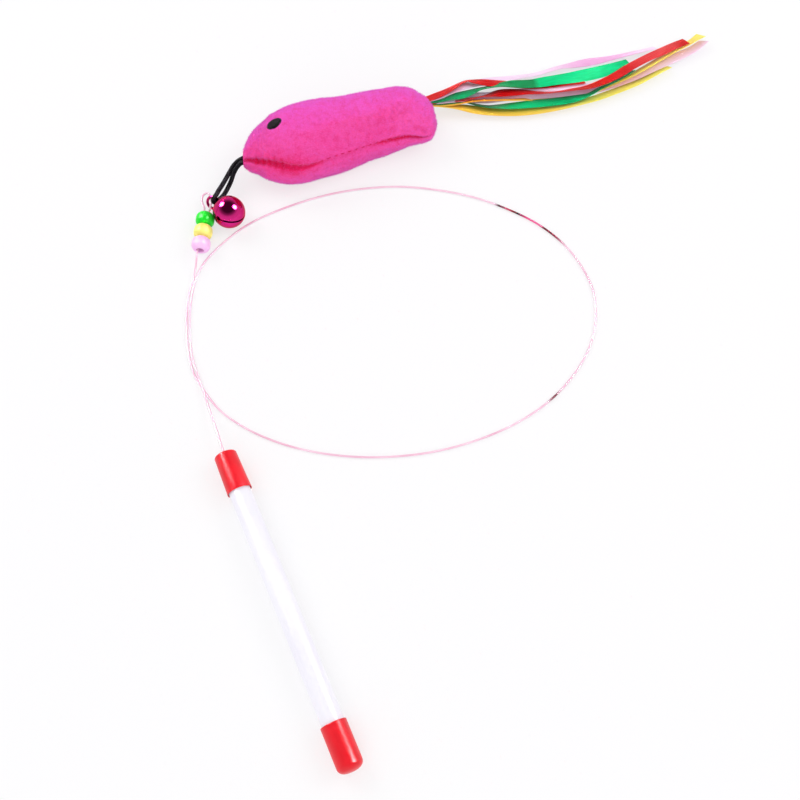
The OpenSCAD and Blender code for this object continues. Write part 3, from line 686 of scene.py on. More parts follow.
# %% Woven thread group
threads, i, o = new_group(
    "Woven threads",
    [("Along", VALUE, 0.0), ("Across", VALUE, 0.0), ("Threads", VALUE, 40.0),
     ("Floats", VALUE, 12.0), ("Depth", VALUE, 0.5)],
    [("Height", VALUE), ("Shade", VALUE)])


def wave(tree, value, count):
    turned_by = math_node(tree, "MULTIPLY", value, count)
    whole = math_node(tree, "MULTIPLY", turned_by, 2 * math.pi)
    return math_node(tree, "MULTIPLY_ADD", math_node(tree, "COSINE", whole), 0.5, 0.5)


warp = wave(threads, i["Across"], i["Threads"])
weft = wave(threads, i["Along"], i["Floats"])
height = math_node(threads, "MULTIPLY_ADD", weft, 0.25, math_node(threads, "SQRT", warp))
threads.links.new(height, o["Height"])
threads.links.new(math_node(threads, "SUBTRACT", 1.0, math_node(
    threads, "MULTIPLY", i["Depth"], math_node(threads, "SUBTRACT", 1.0, warp))), o["Shade"])
print("group:", threads.name)

# %% [markdown]
# ## Plastic finishes
#
# The rod is white extruded plastic, the caps are dipped crimson vinyl with a soft
# gloss, and the beads are opaque moulded plastic. All of them are the same
# recipe with other colours: moulded skin, a little handling wear, and a trace
# of clear coat for the small highlights.

# %% One recipe for all plastics
def srgb(r, g, b):
    """A colour as it looks on the screen, turned into the linear one a shader takes."""
    return (*[(c / 255 / 12.92) if c <= 10 else ((c / 255 + 0.055) / 1.055) ** 2.4
              for c in (r, g, b)], 1)


def plastic(name, colour, shade, gloss, coat, scale=60.0, worn=0.3, ripple=0.12,
            shine=0.45):
    made, tree, shader, place = new_material(
        name, Coat_Weight=coat, Coat_Roughness=0.06, Specular_IOR_Level=shine)
    at = place.outputs["Object"]
    body = use_group(tree, moulded, Vector=at, Colour=colour, Shade=shade, Scale=scale,
                     Gloss=gloss, Gloss_drift=0.12)
    used = use_group(tree, wear, Vector=at, Scale=2.2 * scale, Amount=worn)
    tree.links.new(body["Colour"], shader.inputs["Base Color"])
    tree.links.new(math_node(tree, "MULTIPLY_ADD", used["Mask"], 0.25, body["Roughness"]),
                   shader.inputs["Roughness"])
    relief = math_node(tree, "MULTIPLY_ADD", used["Height"], 0.2, body["Height"])
    bump_on(tree, shader, relief, ripple, 0.0004)
    return made


tube_white = plastic("tube_white", srgb(247, 246, 253), srgb(243, 241, 251), 0.34, 0.05, 25.0,
                     worn=0.15, ripple=0.06, shine=0.25)
cap_crimson = plastic("cap_crimson", srgb(243, 10, 34), srgb(226, 2, 26), 0.34, 0.12, worn=0.35)
plug_grey = plastic("plug_grey", srgb(205, 205, 210), srgb(185, 185, 195), 0.45, 0.0)
bead_paint = {
    "pink": plastic("bead_lilac", srgb(255, 208, 250), srgb(248, 186, 242), 0.4, 0.05, 150.0),
    "yellow": plastic("bead_yellow", srgb(252, 252, 140), srgb(250, 236, 116), 0.4, 0.05, 150.0),
    "green": plastic("bead_green", srgb(4, 242, 46), srgb(2, 220, 30), 0.4, 0.05, 150.0)}
print("plastics:", [m.name for m in (tube_white, cap_crimson, plug_grey, *bead_paint.values())])

# %% [markdown]
# ## The rod and its two caps
#
# The rod is an open tube. A dipped vinyl cap has no sharp edge anywhere: its end
# is a soft dome and its rim a thin rolled lip. The rear cap is straight; the
# front cap narrows towards the wire, and its mouth stands a little off the rod,
# so a dark gap shows round it. All three are turned from an outline.

# %% Turn the rod and the caps
HANDLE_LEN = 146
REAR_END = WIRE_EXIT - HANDLE_LEN * AIM
CAP_R, CAP_BORE, TUBE_R, TUBE_BORE = 5.6, 4.93, 4.9, 4.0
TUBE_EDGE, EDGE_REAR, EDGE_FRONT = 0.15, 3.35, 138.8


def nose(radius, height, power):
    """A blunt dome from the axis out, as (radius, height) points."""
    for t in np.linspace(0, math.pi / 2, 15):
        yield (radius * math.sin(t) ** (2 / power), height * (1 - math.cos(t) ** (2 / power)))


rod = turned("rod", [
    *quarter(TUBE_BORE + TUBE_EDGE, EDGE_REAR, TUBE_EDGE, 180, 270, 3),
    *quarter(TUBE_R - TUBE_EDGE, EDGE_REAR, TUBE_EDGE, 270, 360, 3),
    *quarter(TUBE_R - TUBE_EDGE, EDGE_FRONT, TUBE_EDGE, 0, 90, 3),
    *quarter(TUBE_BORE + TUBE_EDGE, EDGE_FRONT, TUBE_EDGE, 90, 180, 3)], REAR_END, AIM, UP)
rear = turned("rear_vinyl_cap", [
    *nose(CAP_R, 3.7, 2.5), (CAP_R, 10), (CAP_R, 18.6),
    *quarter(CAP_R - 0.28, 19.72, 0.3, -10, 90, 6),
    *quarter(CAP_BORE + 0.2, 19.8, 0.2, 90, 180, 4), (CAP_BORE, 10), (CAP_BORE, 3.1), (0, 3.05)],
    REAR_END, AIM, UP, 128)
front = turned("front_vinyl_cap", [
    *quarter(CAP_R - 0.14, 127.14, 0.14, 180, 360, 8), (CAP_R - 0.14, 132), (CAP_R - 0.3, 138),
    *quarter(4.1, 145, 1.0, 0, 90, 8), (1.6, 146), (1.0, 145.85), (0.56, 145.3), (0.56, 139.05),
    (CAP_BORE - 0.1, 139.05), (CAP_BORE, 138.9), (CAP_BORE, 131), (CAP_BORE + 0.12, 129.3)],
    REAR_END, AIM, UP, 128)
for made, material, slot_name, node in (
        (rod, tube_white, "tube_white", "handle_tube"),
        (rear, cap_crimson, "cap_crimson", "rear_cap"),
        (front, cap_crimson, "cap_crimson", "front_cap")):
    paint(made, material)
    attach(made, "wand")
    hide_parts(node)
print("rod and caps:", sum(len(m.data.polygons) for m in (rod, rear, front)), "faces")

# %% [markdown]
# ## Running a geometry tree once
#
# Geometry Nodes make the pieces that follow a rule. `tree_with` starts a tree
# with named inputs and `grown` runs it on a mesh and keeps the result as a plain
# mesh, because the object file holds no modifiers. Every tree ends in Realize
# Instances and Set Material.

# %% Geometry tree helpers
def tree_with(name, inputs):
    tree = bpy.data.node_groups.new(name, "GeometryNodeTree")
    tree.interface.new_socket("Geometry", in_out="INPUT", socket_type="NodeSocketGeometry")
    tree.interface.new_socket("Geometry", in_out="OUTPUT", socket_type="NodeSocketGeometry")
    for label, kind, default in inputs:
        tree.interface.new_socket(label, in_out="INPUT", socket_type=kind).default_value = default
    tree.interface.new_socket("Material", in_out="INPUT", socket_type="NodeSocketMaterial")
    given, out = tree.nodes.new("NodeGroupInput"), tree.nodes.new("NodeGroupOutput")
    return tree, given.outputs, out.inputs


def end_tree(tree, given, out, geometry):
    real = add(tree, "GeometryNodeRealizeInstances", {"Geometry": geometry})
    soft = add(tree, "GeometryNodeSetShadeSmooth", {"Geometry": real.outputs[0],
                                                    "Shade Smooth": True})
    painted = add(tree, "GeometryNodeSetMaterial", {"Geometry": soft.outputs[0],
                                                    "Material": given["Material"]})
    tree.links.new(painted.outputs[0], out["Geometry"])


def grown(name, tree, base, material, **settings):
    """The tree's result on a base mesh, as a new object with a plain mesh."""
    carrier = new_object("carrier", base)
    modifier = carrier.modifiers.new("tree", "NODES")
    modifier.node_group = tree
    settings = {**{k.replace("_", " "): v for k, v in settings.items()}, "Material": material}
    for item in tree.interface.items_tree:
        if item.in_out == "INPUT" and item.name in settings:
            modifier[item.identifier] = settings[item.name]
    ready = carrier.evaluated_get(bpy.context.evaluated_depsgraph_get())
    mesh = bpy.data.meshes.new_from_object(ready)
    bpy.data.objects.remove(carrier)
    mesh.name = name
    return new_object(name, mesh)


def position_in(tree):
    """X, Y and Z of each point of the geometry, as three outputs."""
    return add(tree, "ShaderNodeSeparateXYZ", {
        0: tree.nodes.new("GeometryNodeInputPosition").outputs[0]}).outputs


FLOAT = "NodeSocketFloat"
print("geometry tree helpers are ready")

# %% [markdown]
# ## The beads
#
# A barrel bead is a rounded rectangle swept round a circle. One tree makes it
# from its real sizes, and it runs three times. The outer corners are round and
# the hole's rim has only a small rounding, so the hole stays crisp.

# %% The bead's tree
bead_tree, given, out = tree_with("Barrel bead", [
    ("Radius", FLOAT, 0.0046), ("Bore", FLOAT, 0.0018), ("Length", FLOAT, 0.0071),
    ("Rounding", FLOAT, 0.0022), ("Rim", FLOAT, 0.0004), ("Barrel", FLOAT, 0.26)])
wall = math_node(bead_tree, "SUBTRACT", given["Radius"], given["Bore"])
section = add(bead_tree, "GeometryNodeCurvePrimitiveQuadrilateral",
              {"Width": wall, "Height": given["Length"]})
is_outer = math_node(bead_tree, "GREATER_THAN", position_in(bead_tree)["X"], 0.0)
corner = add(bead_tree, "ShaderNodeMix", {0: is_outer, 2: given["Rim"], 3: given["Rounding"]})
rounded = add(bead_tree, "GeometryNodeFilletCurve", {
    "Curve": section.outputs[0], "Count": 9, "Radius": corner.outputs[0]}, mode="POLY")
fuller = add(bead_tree, "GeometryNodeResampleCurve", {"Curve": rounded.outputs[0], "Count": 88})
at = position_in(bead_tree)
half_wall = math_node(bead_tree, "MULTIPLY", 0.5, wall)
to_end = math_node(bead_tree, "DIVIDE", at["Y"],
                   math_node(bead_tree, "MULTIPLY", 0.5, given["Length"]))
narrowed = math_node(bead_tree, "SUBTRACT", 1.0, math_node(
    bead_tree, "MULTIPLY", given["Barrel"], math_node(bead_tree, "MULTIPLY", to_end, to_end)))
new_x = math_node(bead_tree, "SUBTRACT", math_node(bead_tree, "MULTIPLY", math_node(
    bead_tree, "ADD", at["X"], half_wall), narrowed), half_wall)
bulged = add(bead_tree, "GeometryNodeSetPosition", {
    "Geometry": fuller.outputs[0], "Position": add(bead_tree, "ShaderNodeCombineXYZ", {
        0: new_x, 1: at["Y"]}).outputs[0]})
middle = math_node(bead_tree, "MULTIPLY", 0.5, math_node(
    bead_tree, "ADD", given["Radius"], given["Bore"]))
circle = add(bead_tree, "GeometryNodeCurvePrimitiveCircle", {"Resolution": 96, "Radius": middle})
swept = add(bead_tree, "GeometryNodeCurveToMesh", {
    "Curve": circle.outputs[0], "Profile Curve": bulged.outputs[0]})
end_tree(bead_tree, given, out, swept.outputs[0])
print("tree:", bead_tree.name)

# %% Thread the beads on the stack
def place_mesh(made, origin, axis):
    """Moves a mesh so that its Z lies along axis, its X is up and its origin at a place."""
    axis, side = unit(axis), unit(UP)
    frame_of = np.stack([side, np.cross(axis, side), axis], 1)
    co = np.zeros(len(made.data.vertices) * 3)
    made.data.vertices.foreach_get("co", co)
    co = co.reshape(-1, 3) @ frame_of.T + np.asarray(origin, float) * MM
    made.data.vertices.foreach_set("co", co.ravel())
    made.data.update()
    face_out(made.data)


STACK_WAY = unit(np.subtract(stack_pt(0, 1, 0), stack_pt(0, 0, 0)))
for n, (colour, body) in enumerate((("pink", "near_bead"), ("yellow", "middle_bead"),
                                    ("green", "far_bead"))):
    made = grown("barrel_bead_" + colour, bead_tree, bpy.data.meshes.new("empty"),
                 bead_paint[colour])
    place_mesh(made, stack_pt(0, n * BEAD_PITCH + BEAD_LEN / 2, 0), STACK_WAY)
    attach(made, body)
    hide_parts("bead_" + colour)
    print("bead", colour, "width", round(max(made.dimensions) / MM, 2), "mm")

# %% [markdown]
# ## The bell's plating
#
# The bell is pressed steel with a magenta mirror plating under a clear lacquer.
# A mirror shows its surroundings, so its own colour hardly drifts and its gloss
# changes mostly with the wear. The lacquer is the coat, which keeps the lights
# white.

# %% Magenta plating and plain steel
def plated(name, colour, shade, gloss, coat, worn):
    made, tree, shader, place = new_material(name, Metallic=1.0, Coat_Weight=coat,
                                             Coat_Roughness=0.03, Specular_Tint=colour)
    at = place.outputs["Object"]
    body = use_group(tree, moulded, Vector=at, Colour=colour, Shade=shade, Scale=90.0,
                     Gloss=gloss, Gloss_drift=0.03)
    used = use_group(tree, wear, Vector=at, Scale=420.0, Amount=worn)
    tree.links.new(body["Colour"], shader.inputs["Base Color"])
    tree.links.new(math_node(tree, "MULTIPLY_ADD", used["Mask"], 0.3, body["Roughness"]),
                   shader.inputs["Roughness"])
    bump_on(tree, shader, body["Height"], 0.05, 0.0002)
    return made


bell_magenta = plated("bell_magenta", srgb(216, 30, 130), srgb(194, 18, 104), 0.05, 0.3, 0.4)
plain_steel = plated("pellet_steel", srgb(190, 190, 196), srgb(170, 170, 178), 0.3, 0.0, 0.6)
print("metals:", bell_magenta.name, plain_steel.name)

# %% [markdown]
# ## The bell
#
# Two pressed half shells meet in a line round the bell. The lower one has a slot
# with a round hole at each end. A grid of meridians round the slot gives clean
# lips: its rows start at the slot's edge instead of the equator, so no cutting
# is needed. A wall and a small rounding are added after that.

# %% Bell sizes and its own directions
BELL_C, BELL_R, BELL_WALL = np.array([-117.375, 72.159, 8.0]), 8.0, 0.5
BELL_TURN, BELL_ROLL, RING_ROLL = (math.radians(a) for a in (-33, -22.4, 45))
SLOT_HALF_MM, HOLE_R, SLOT_END = 0.5, 1.2, 94.0
SLOT_HALF = math.degrees(math.asin(SLOT_HALF_MM / BELL_R))
HOLE_REACH = math.degrees(HOLE_R / BELL_R)
COARSE_STEP, FINE_STEP, HOLE_ROOM, BELL_ROWS = 3.0, 0.7, 10, 24
JOIN_X, JOIN_GAP, RIM_SWELL, RIM_REACH, LIP = -2.4, 0.05, 0.008, 0.7, 0.12


def bell_turned(points, roll):
    """Points of the bell's own frame, where X runs from the ring to the slot."""
    p = np.asarray(points, float)
    c, s = math.cos(roll), math.sin(roll)
    p = np.stack([p[..., 0], c * p[..., 1] - s * p[..., 2], s * p[..., 1] + c * p[..., 2]], -1)
    c, s = math.cos(BELL_TURN), math.sin(BELL_TURN)
    return BELL_C + np.stack([c * p[..., 0] - s * p[..., 1], s * p[..., 0] + c * p[..., 1],
                              p[..., 2]], -1)


def slot_edge(a):
    """Half width of the slot in degrees at azimuth a, 0 where there is no slot."""
    off = abs(a) - SLOT_END
    hole = math.sqrt(max(0, HOLE_REACH**2 - off**2))
    return max(hole, SLOT_HALF if off < 0 else 0)


# %% Build both shells
def bell_skin():
    """A sphere of meridians with the slot left open; the rows start at its edge."""
    by_hole = np.arange(SLOT_END - HOLE_ROOM, SLOT_END + HOLE_ROOM, FINE_STEP)
    turns = sorted({round(a, 3) for a in [*np.arange(-180, 180, COARSE_STEP),
                                          *by_hole, *-by_hole]})
    bm = bmesh.new()
    for half in (1, -1):
        rows = []
        for a in turns:
            edge, a_r = slot_edge(a), math.radians(a)
            column = []
            for t in np.linspace(0, 1, BELL_ROWS + 1)[:-1]:
                b = math.radians(edge + (90 - edge) * t**1.15)
                column.append(bm.verts.new((BELL_R * math.cos(b) * math.cos(a_r),
                                            BELL_R * math.cos(b) * math.sin(a_r),
                                            half * BELL_R * math.sin(b))))
            rows.append(column)
        pole = bm.verts.new((0, 0, half * BELL_R))
        for k, left in enumerate(rows):
            right = rows[(k + 1) % len(rows)]
            for j in range(len(left) - 1):
                bm.faces.new((left[j], right[j], right[j + 1], left[j + 1])[::half])
            bm.faces.new((left[-1], right[-1], pole)[::half])
    bmesh.ops.remove_doubles(bm, verts=bm.verts, dist=1e-4)
    return bm


def bell_shell(name, keep_ring_side):
    """One half of the bell, with a wall and small round lips as modifiers."""
    bm = bell_skin()
    gap = JOIN_X - JOIN_GAP if keep_ring_side else JOIN_X
    way = 1 if keep_ring_side else -1
    bmesh.ops.bisect_plane(bm, geom=bm.verts[:] + bm.edges[:] + bm.faces[:], dist=1e-5,
                           plane_co=(gap, 0, 0), plane_no=(way, 0, 0), clear_outer=True)
    if keep_ring_side:
        for v in bm.verts:
            v.co *= 1 + RIM_SWELL * hill(v.co.x, gap, RIM_REACH)
    moved = bell_turned([v.co for v in bm.verts], BELL_ROLL) * MM
    for v, place in zip(bm.verts, moved):
        v.co = place
    bmesh.ops.recalc_face_normals(bm, faces=bm.faces)
    top = max(bm.verts, key=lambda v: v.co.z)
    if top.normal.z < 0:
        bmesh.ops.reverse_faces(bm, faces=bm.faces)
    mesh = bpy.data.meshes.new(name)
    bm.to_mesh(mesh)
    bm.free()
    made = new_object(name, mesh)
    wall = made.modifiers.new("wall", "SOLIDIFY")
    wall.thickness, wall.offset, wall.use_even_offset = BELL_WALL * MM, -1, True
    lips = made.modifiers.new("lips", "BEVEL")
    lips.width, lips.segments, lips.limit_method = LIP * MM, 2, "ANGLE"
    lips.angle_limit = math.radians(50)
    return made


def bake_modifiers(made):
    """Keeps the shape that the modifiers give and removes them."""
    ready = made.evaluated_get(bpy.context.evaluated_depsgraph_get())
    mesh = bpy.data.meshes.new_from_object(ready)
    made.modifiers.clear()
    mesh.name = made.name
    made.data = mesh
    mesh.shade_smooth()
    return made


for name, ring_side, node in (("bell_hanger_half", True, "bell_upper_shell"),
                              ("bell_slotted_half", False, "bell_lower_shell")):
    made = bake_modifiers(bell_shell(name, ring_side))
    made.data.set_sharp_from_angle(angle=math.radians(40))
    paint(made, bell_magenta)
    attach(made, "bell")
    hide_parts(node)
    print(name, len(made.data.polygons), "faces")

# %% [markdown]
# ### The bell's ring
#
# The ring is a bent wire whose two ends are soldered to the shell, so its feet
# widen a little. It hangs in the wire's eye and carries the elastic.

# %% Bend the ring
RING_R, RING_MID, RING_REACH = 0.7, 2.65, 2.45
FEET_X = (-7.2, -8.2, -9.3)
SOLDER_SWELL, SOLDER_REACH = 0.45, 0.75
bend_at = -BELL_R - RING_REACH
ring_points = ([(x, -RING_MID, 0) for x in (*FEET_X, bend_at)]
               + [(bend_at - RING_MID * math.sin(t), -RING_MID * math.cos(t), 0)
                  for t in np.linspace(0, math.pi, 11)[1:]]
               + [(x, RING_MID, 0) for x in FEET_X[::-1]])
ring_path = smooth_path(bell_turned(ring_points, RING_ROLL), 0.35)
RING_LEN = path_length(ring_path)


def soldered(run, turn):
    """Both feet widen; the zero only spreads the result over all turns."""
    return 1 + SOLDER_SWELL * hill(np.minimum(run, RING_LEN - run), 0, SOLDER_REACH) + 0 * turn


ring = cord_skin("bell_hanging_ring", ring_path, RING_R, 20, relief=soldered)
paint(ring, bell_magenta)
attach(ring, "bell")
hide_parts("bell_ring")
paint(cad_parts["bell_pellet"], plain_steel)
print("the ring's wire is", round(RING_LEN, 1), "mm long")

# %% [markdown]
# ## The fish: one stuffed cover
#
# The fish is two plush panels sewn along both sides and stuffed hard. The cover
# starts as a grid that follows the panels: its rows run round the body and two
# of its columns are the seams. Cloth simulation then blows it up while the
# seams, the mouth and the tail are held, which gives the swell of a stuffed toy.

# %% The body's sections, from the mouth to the tail
FISH_LEN, FISH_W, FISH_H = 95.8, 47.0, 29.4
MOUTH = np.array([-110.5, 101.8, 11.2])
SECTIONS = np.array([
    (0, 0, 0.2, 0.24), (0.026, 0.06, 0.4, 0.5), (0.057, 0.095, 0.57, 0.66),
    (0.1, 0.12, 0.71, 0.79), (0.145, 0.125, 0.83, 0.91), (0.214, 0.138, 0.94, 0.99),
    (0.31, 0.188, 1, 1), (0.4, 0.245, 0.97, 0.99), (0.485, 0.3, 0.92, 0.96),
    (0.62, 0.39, 0.86, 0.9), (0.745, 0.48, 0.8, 0.83), (0.82, 0.515, 0.76, 0.77),
    (0.87, 0.53, 0.71, 0.71), (0.93, 0.5, 0.59, 0.6), (0.975, 0.47, 0.41, 0.43),
    (0.995, 0.455, 0.2, 0.22), (1, 0.45, 0.02, 0.03)])
MOUTH_SEAM = 34
SEAM_SINK, SINK_REACH = 1.6, 9


def near_seam(u):
    """The near seam's angle; it dips behind the jaw and again at the tail."""
    t = min(1, max(0, (u - 0.14) / 0.2))
    low = 6.5 * t * t * (3 - 2 * t)
    dips = 5 * hill(u, 0.34, 0.12) + 12 * hill(u, 0.95, 0.06)
    return MOUTH_SEAM - 5 * u - low - dips


def off_seam(angle):
    """Degrees to the nearer seam, for an angle that starts at the near one."""
    return min(abs((angle - s + 180) % 360 - 180) for s in (0, 180))


def fish_pt(u, angle, inset):
    """A point of the body's skin; angle 0 faces the viewer and 90 is up."""
    i = int(np.clip(np.searchsorted(SECTIONS[:, 0], u, "right") - 1, 0, len(SECTIONS) - 2))
    a, b = SECTIONS[i], SECTIONS[i + 1]
    before, after = SECTIONS[max(i - 1, 0)], SECTIONS[min(i + 2, len(SECTIONS) - 1)]
    t = (u - a[0]) / (b[0] - a[0])
    q = 0.5 * (2 * a + (b - before) * t + (2 * before - 5 * a + 4 * b - after) * t**2
               + (3 * a - 3 * b + after - before) * t**3)
    half_w, half_h = q[2] * FISH_W / 2, q[3] * FISH_H / 2
    sink = SEAM_SINK * hill(off_seam(angle - near_seam(u)), 0, SINK_REACH)
    sink *= min(1, 4 * half_h / FISH_H)
    ry, rz = max(half_w - inset - sink, 0.05), max(half_h - inset - sink, 0.05)
    turn = math.radians(angle)
    return np.array([MOUTH[0] + u * FISH_LEN - inset * u,
                     MOUTH[1] + q[1] * FISH_W - ry * math.cos(turn),
                     max(max(MOUTH[2], half_h - 0.5) + rz * math.sin(turn), inset * 0.5)])


# %% Lay out the cover's grid
COLUMNS = 64
SEAM_COLUMNS = (0, COLUMNS // 2)
rows_u = [SECTIONS[k, 0] + t * (SECTIONS[k + 1, 0] - SECTIONS[k, 0])
          for k in range(len(SECTIONS) - 1) for t in (0, 1 / 3, 2 / 3)] + [1.0]
START_INSET = 1.5
LIPS = [(5.0, 2.2, 1.5), (2.2, 2.6, 1.8), (0.4, 3.3, 2.4)]
angles = np.arange(COLUMNS) * 360 / COLUMNS
cover_rows = [[MOUTH + (dx, -0.7 - wide * math.cos(math.radians(a + MOUTH_SEAM)),
                        tall * math.sin(math.radians(a + MOUTH_SEAM))) for a in angles]
              for dx, wide, tall in LIPS]
cover_rows += [[fish_pt(u, near_seam(u) + a, START_INSET * min(1, 12 * u)) for a in angles]
               for u in rows_u]
cover_rows = np.array(cover_rows)
row_u = np.array([0.0] * len(LIPS) + rows_u)
HELD_FRONT, HELD_BACK = len(LIPS) + 1, 4
print("the cover's grid:", cover_rows.shape[0], "by", COLUMNS)

# %% Blow the cover up with the seams held
GROW, MOST_MOVE = 10.0, 2.6
CLOTH_FRAMES, SMOOTHING_PASSES = 20, 4


def inflated(rows):
    """The grid after a short cloth simulation at ten times the size."""
    held = skin("cover_for_cloth", rows * GROW)
    pins = held.vertex_groups.new(name="held")
    count, columns = rows.shape[:2]
    for i in range(count):
        for j in range(columns):
            firm = i < HELD_FRONT or i >= count - HELD_BACK or j in SEAM_COLUMNS
            if firm or (j + 1) % columns in SEAM_COLUMNS or j - 1 in SEAM_COLUMNS:
                pins.add([i * columns + j], 1.0 if firm else 0.25, "REPLACE")
    cloth = held.modifiers.new("cloth", "CLOTH")
    cloth.settings.quality = 8
    cloth.settings.mass = 0.3
    cloth.settings.use_pressure = True
    cloth.settings.uniform_pressure_force = 5.0
    cloth.settings.tension_stiffness = cloth.settings.compression_stiffness = 12.0
    cloth.settings.bending_stiffness = 0.4
    cloth.settings.shrink_min = -0.05
    cloth.settings.effector_weights.gravity = 0.0
    cloth.settings.vertex_group_mass = "held"
    cloth.collision_settings.use_collision = False
    cloth.point_cache.frame_start, cloth.point_cache.frame_end = 1, CLOTH_FRAMES
    for step in range(1, CLOTH_FRAMES + 1):
        bpy.context.scene.frame_set(step)
    ready = held.evaluated_get(bpy.context.evaluated_depsgraph_get())
    co = np.zeros(count * columns * 3)
    ready.data.vertices.foreach_get("co", co)
    bpy.context.scene.frame_set(1)
    bpy.data.objects.remove(held)
    moved = co.reshape(count, columns, 3) / MM / GROW - rows
    for _ in range(SMOOTHING_PASSES):
        moved = 0.5 * moved + 0.25 * (np.roll(moved, 1, 1) + np.roll(moved, -1, 1))
        moved[1:-1] = 0.5 * moved[1:-1] + 0.25 * (moved[2:] + moved[:-2])
    far = np.linalg.norm(moved, axis=2, keepdims=True)
    return rows + moved * np.minimum(1, MOST_MOVE / np.maximum(far, 1e-9))


swollen = inflated(cover_rows)
far_moved = np.linalg.norm(swollen - cover_rows, axis=2)
print("the cloth moved", round(float(far_moved.mean()), 2), "mm on average and",
      round(float(far_moved.max()), 2), "mm at most")

# %% [markdown]
# ### Creases, puckers and lumps
#
# The seam pulls the cover in, deep near the mouth and the tail and shallow in
# the middle, where the stitches show. Five threads gather the mouth and pucker
# the seam across. The stuffing leaves a few soft lumps. All of this is a move of
# each point along its normal, after two subdivisions. Two more curves lift the
# far and the near outline a little to where the photo has them, and the cover
# stays flat where it lies on the floor.

# %% Subdivide the cover and shape its surface
PUCKERS = [0.07 + 0.035 * k for k in range(5)]
cover = skin("plush_cover", swollen, row_u, sharp_angle=180)
store(cover.data, "from_seam", np.tile([off_seam(a) for a in angles], len(row_u)))
store(cover.data, "body_share", np.repeat(row_u, COLUMNS))
fine = cover.modifiers.new("fine", "SUBSURF")
fine.levels = fine.render_levels = 2
bake_modifiers(cover)


def read(mesh, label):
    out = np.zeros(len(mesh.vertices), np.float32)
    mesh.attributes[label].data.foreach_get("value", out)
    return out.astype(float)


def point_array(mesh):
    co = np.zeros(len(mesh.vertices) * 3)
    mesh.vertices.foreach_get("co", co)
    return co.reshape(-1, 3) / MM


def normal_array(mesh):
    way = np.zeros(len(mesh.vertices) * 3)
    mesh.vertex_normals.foreach_get("vector", way)
    return way.reshape(-1, 3)


def noise_at(points, height, size, seed):
    """Smooth noise over places in mm, about as high and wide as given."""
    return height * np.array([noise.noise(Vector(p / size) + Vector((seed, seed, seed)))
                              for p in points])


seam_deg, share = read(cover.data, "from_seam"), read(cover.data, "body_share")
co, normals = point_array(cover.data), normal_array(cover.data)
CREASE_DEPTH = np.array([
    (0, 0), (0.04, 1.0), (0.2, 1.3), (0.36, 0.9), (0.45, -0.2), (0.66, -0.2), (0.76, 0.9),
    (0.93, 0.9), (1, 0)])
CREASE_DEG, GATHER_DEG, GATHER_WIDE, GATHER_DEPTH = 5.5, 13, 0.8, 0.55
depth = np.interp(share, *CREASE_DEPTH.T)
crease = hill(seam_deg, 0, CREASE_DEG)
gather = sum(hill(share, u, GATHER_WIDE / FISH_LEN) for u in PUCKERS)
gather *= hill(seam_deg, 0, GATHER_DEG)
BUMPS = ((0.24, 17, 3.1), (0.12, 7, 8.4), (0.10, 1.7, 5.5), (0.06, 0.8, 1.2))
lumps = sum(noise_at(co, *lump) for lump in BUMPS) * np.clip(share * 12, 0, 1)
move = lumps - depth * crease - GATHER_DEPTH * gather
FAR_LIFT = np.array([
    (0, -0.4), (0.05, 0.2), (0.09, 1.2), (0.13, -0.4), (0.17, -1.6), (0.25, -1.0), (0.34, -1),
    (0.42, -0.7), (0.6, -0.5), (0.72, 0.1), (0.79, 1.5), (0.86, 1.3), (0.9, 1.2), (0.96, 3),
    (1, 3.4)])
NEAR_LIFT = np.array([
    (0, 0.8), (0.05, 0.7), (0.2, 0.1), (0.32, -0.8), (0.42, -2), (0.5, -2.5), (0.58, -1.7),
    (0.65, -1.1), (0.75, -1.4), (0.82, -0.8), (0.92, -0.3), (1, -0.8)])
SNOUT_OUT, TAIL_OUT, FLOOR_GAP, EYE_ROOM = 1.0, 1.9, 0.06, 0.9
# Painted light: the direction and level of the side of the fish that is painted paler.
LIGHT_SIDE_WAY, LIGHT_SIDE_LEVEL = np.array([0, 0.9, 0.3]), 0.08
faces_up = normals @ VIEW_UP
lift = (np.interp(share, *FAR_LIFT.T) * np.clip(faces_up, 0, 1)
        + np.interp(share, *NEAR_LIFT.T) * np.clip(-faces_up, 0, 1))
co = co + move[:, None] * normals + lift[:, None] * VIEW_UP
co[:, 0] += TAIL_OUT * hill(share, 1, 0.09) - SNOUT_OUT * hill(share, 0, 0.05)
LOWER_EYE, HOLLOW_R = fish_pt(0.165, 102, 0)[:2], 3.4
under_eye = np.exp(-(np.linalg.norm(co[:, :2] - LOWER_EYE, axis=1) / HOLLOW_R) ** 4)
co[:, 2] = np.maximum(co[:, 2], FLOOR_GAP + EYE_ROOM * under_eye)
cover.data.vertices.foreach_set("co", (co * MM).ravel())
# Painted shade: the seam's crease, the mouth's puckers and the hollow under the jaw are stored as
# one share that the plush finish paints darker and redder.
jaw = hill(share, 0.25, 0.12) * hill(seam_deg, 9, 12) * (faces_up < 0.15)
shade = np.clip(crease * np.clip(depth + 0.5, 0, 1.5) + 0.4 * gather + 0.7 * jaw, 0, 1)
store(cover.data, "crease", shade)
# Painted light: a share that grows as the cover's normal faces up and away, which the plush finish
# paints paler lilac pink.
store(cover.data, "far_side_light", np.clip(normals @ LIGHT_SIDE_WAY + LIGHT_SIDE_LEVEL, 0, 1))
cover.data.update()
print("the cover has", len(cover.data.polygons), "faces and spans",
      [round(v / MM, 1) for v in cover.dimensions], "mm")
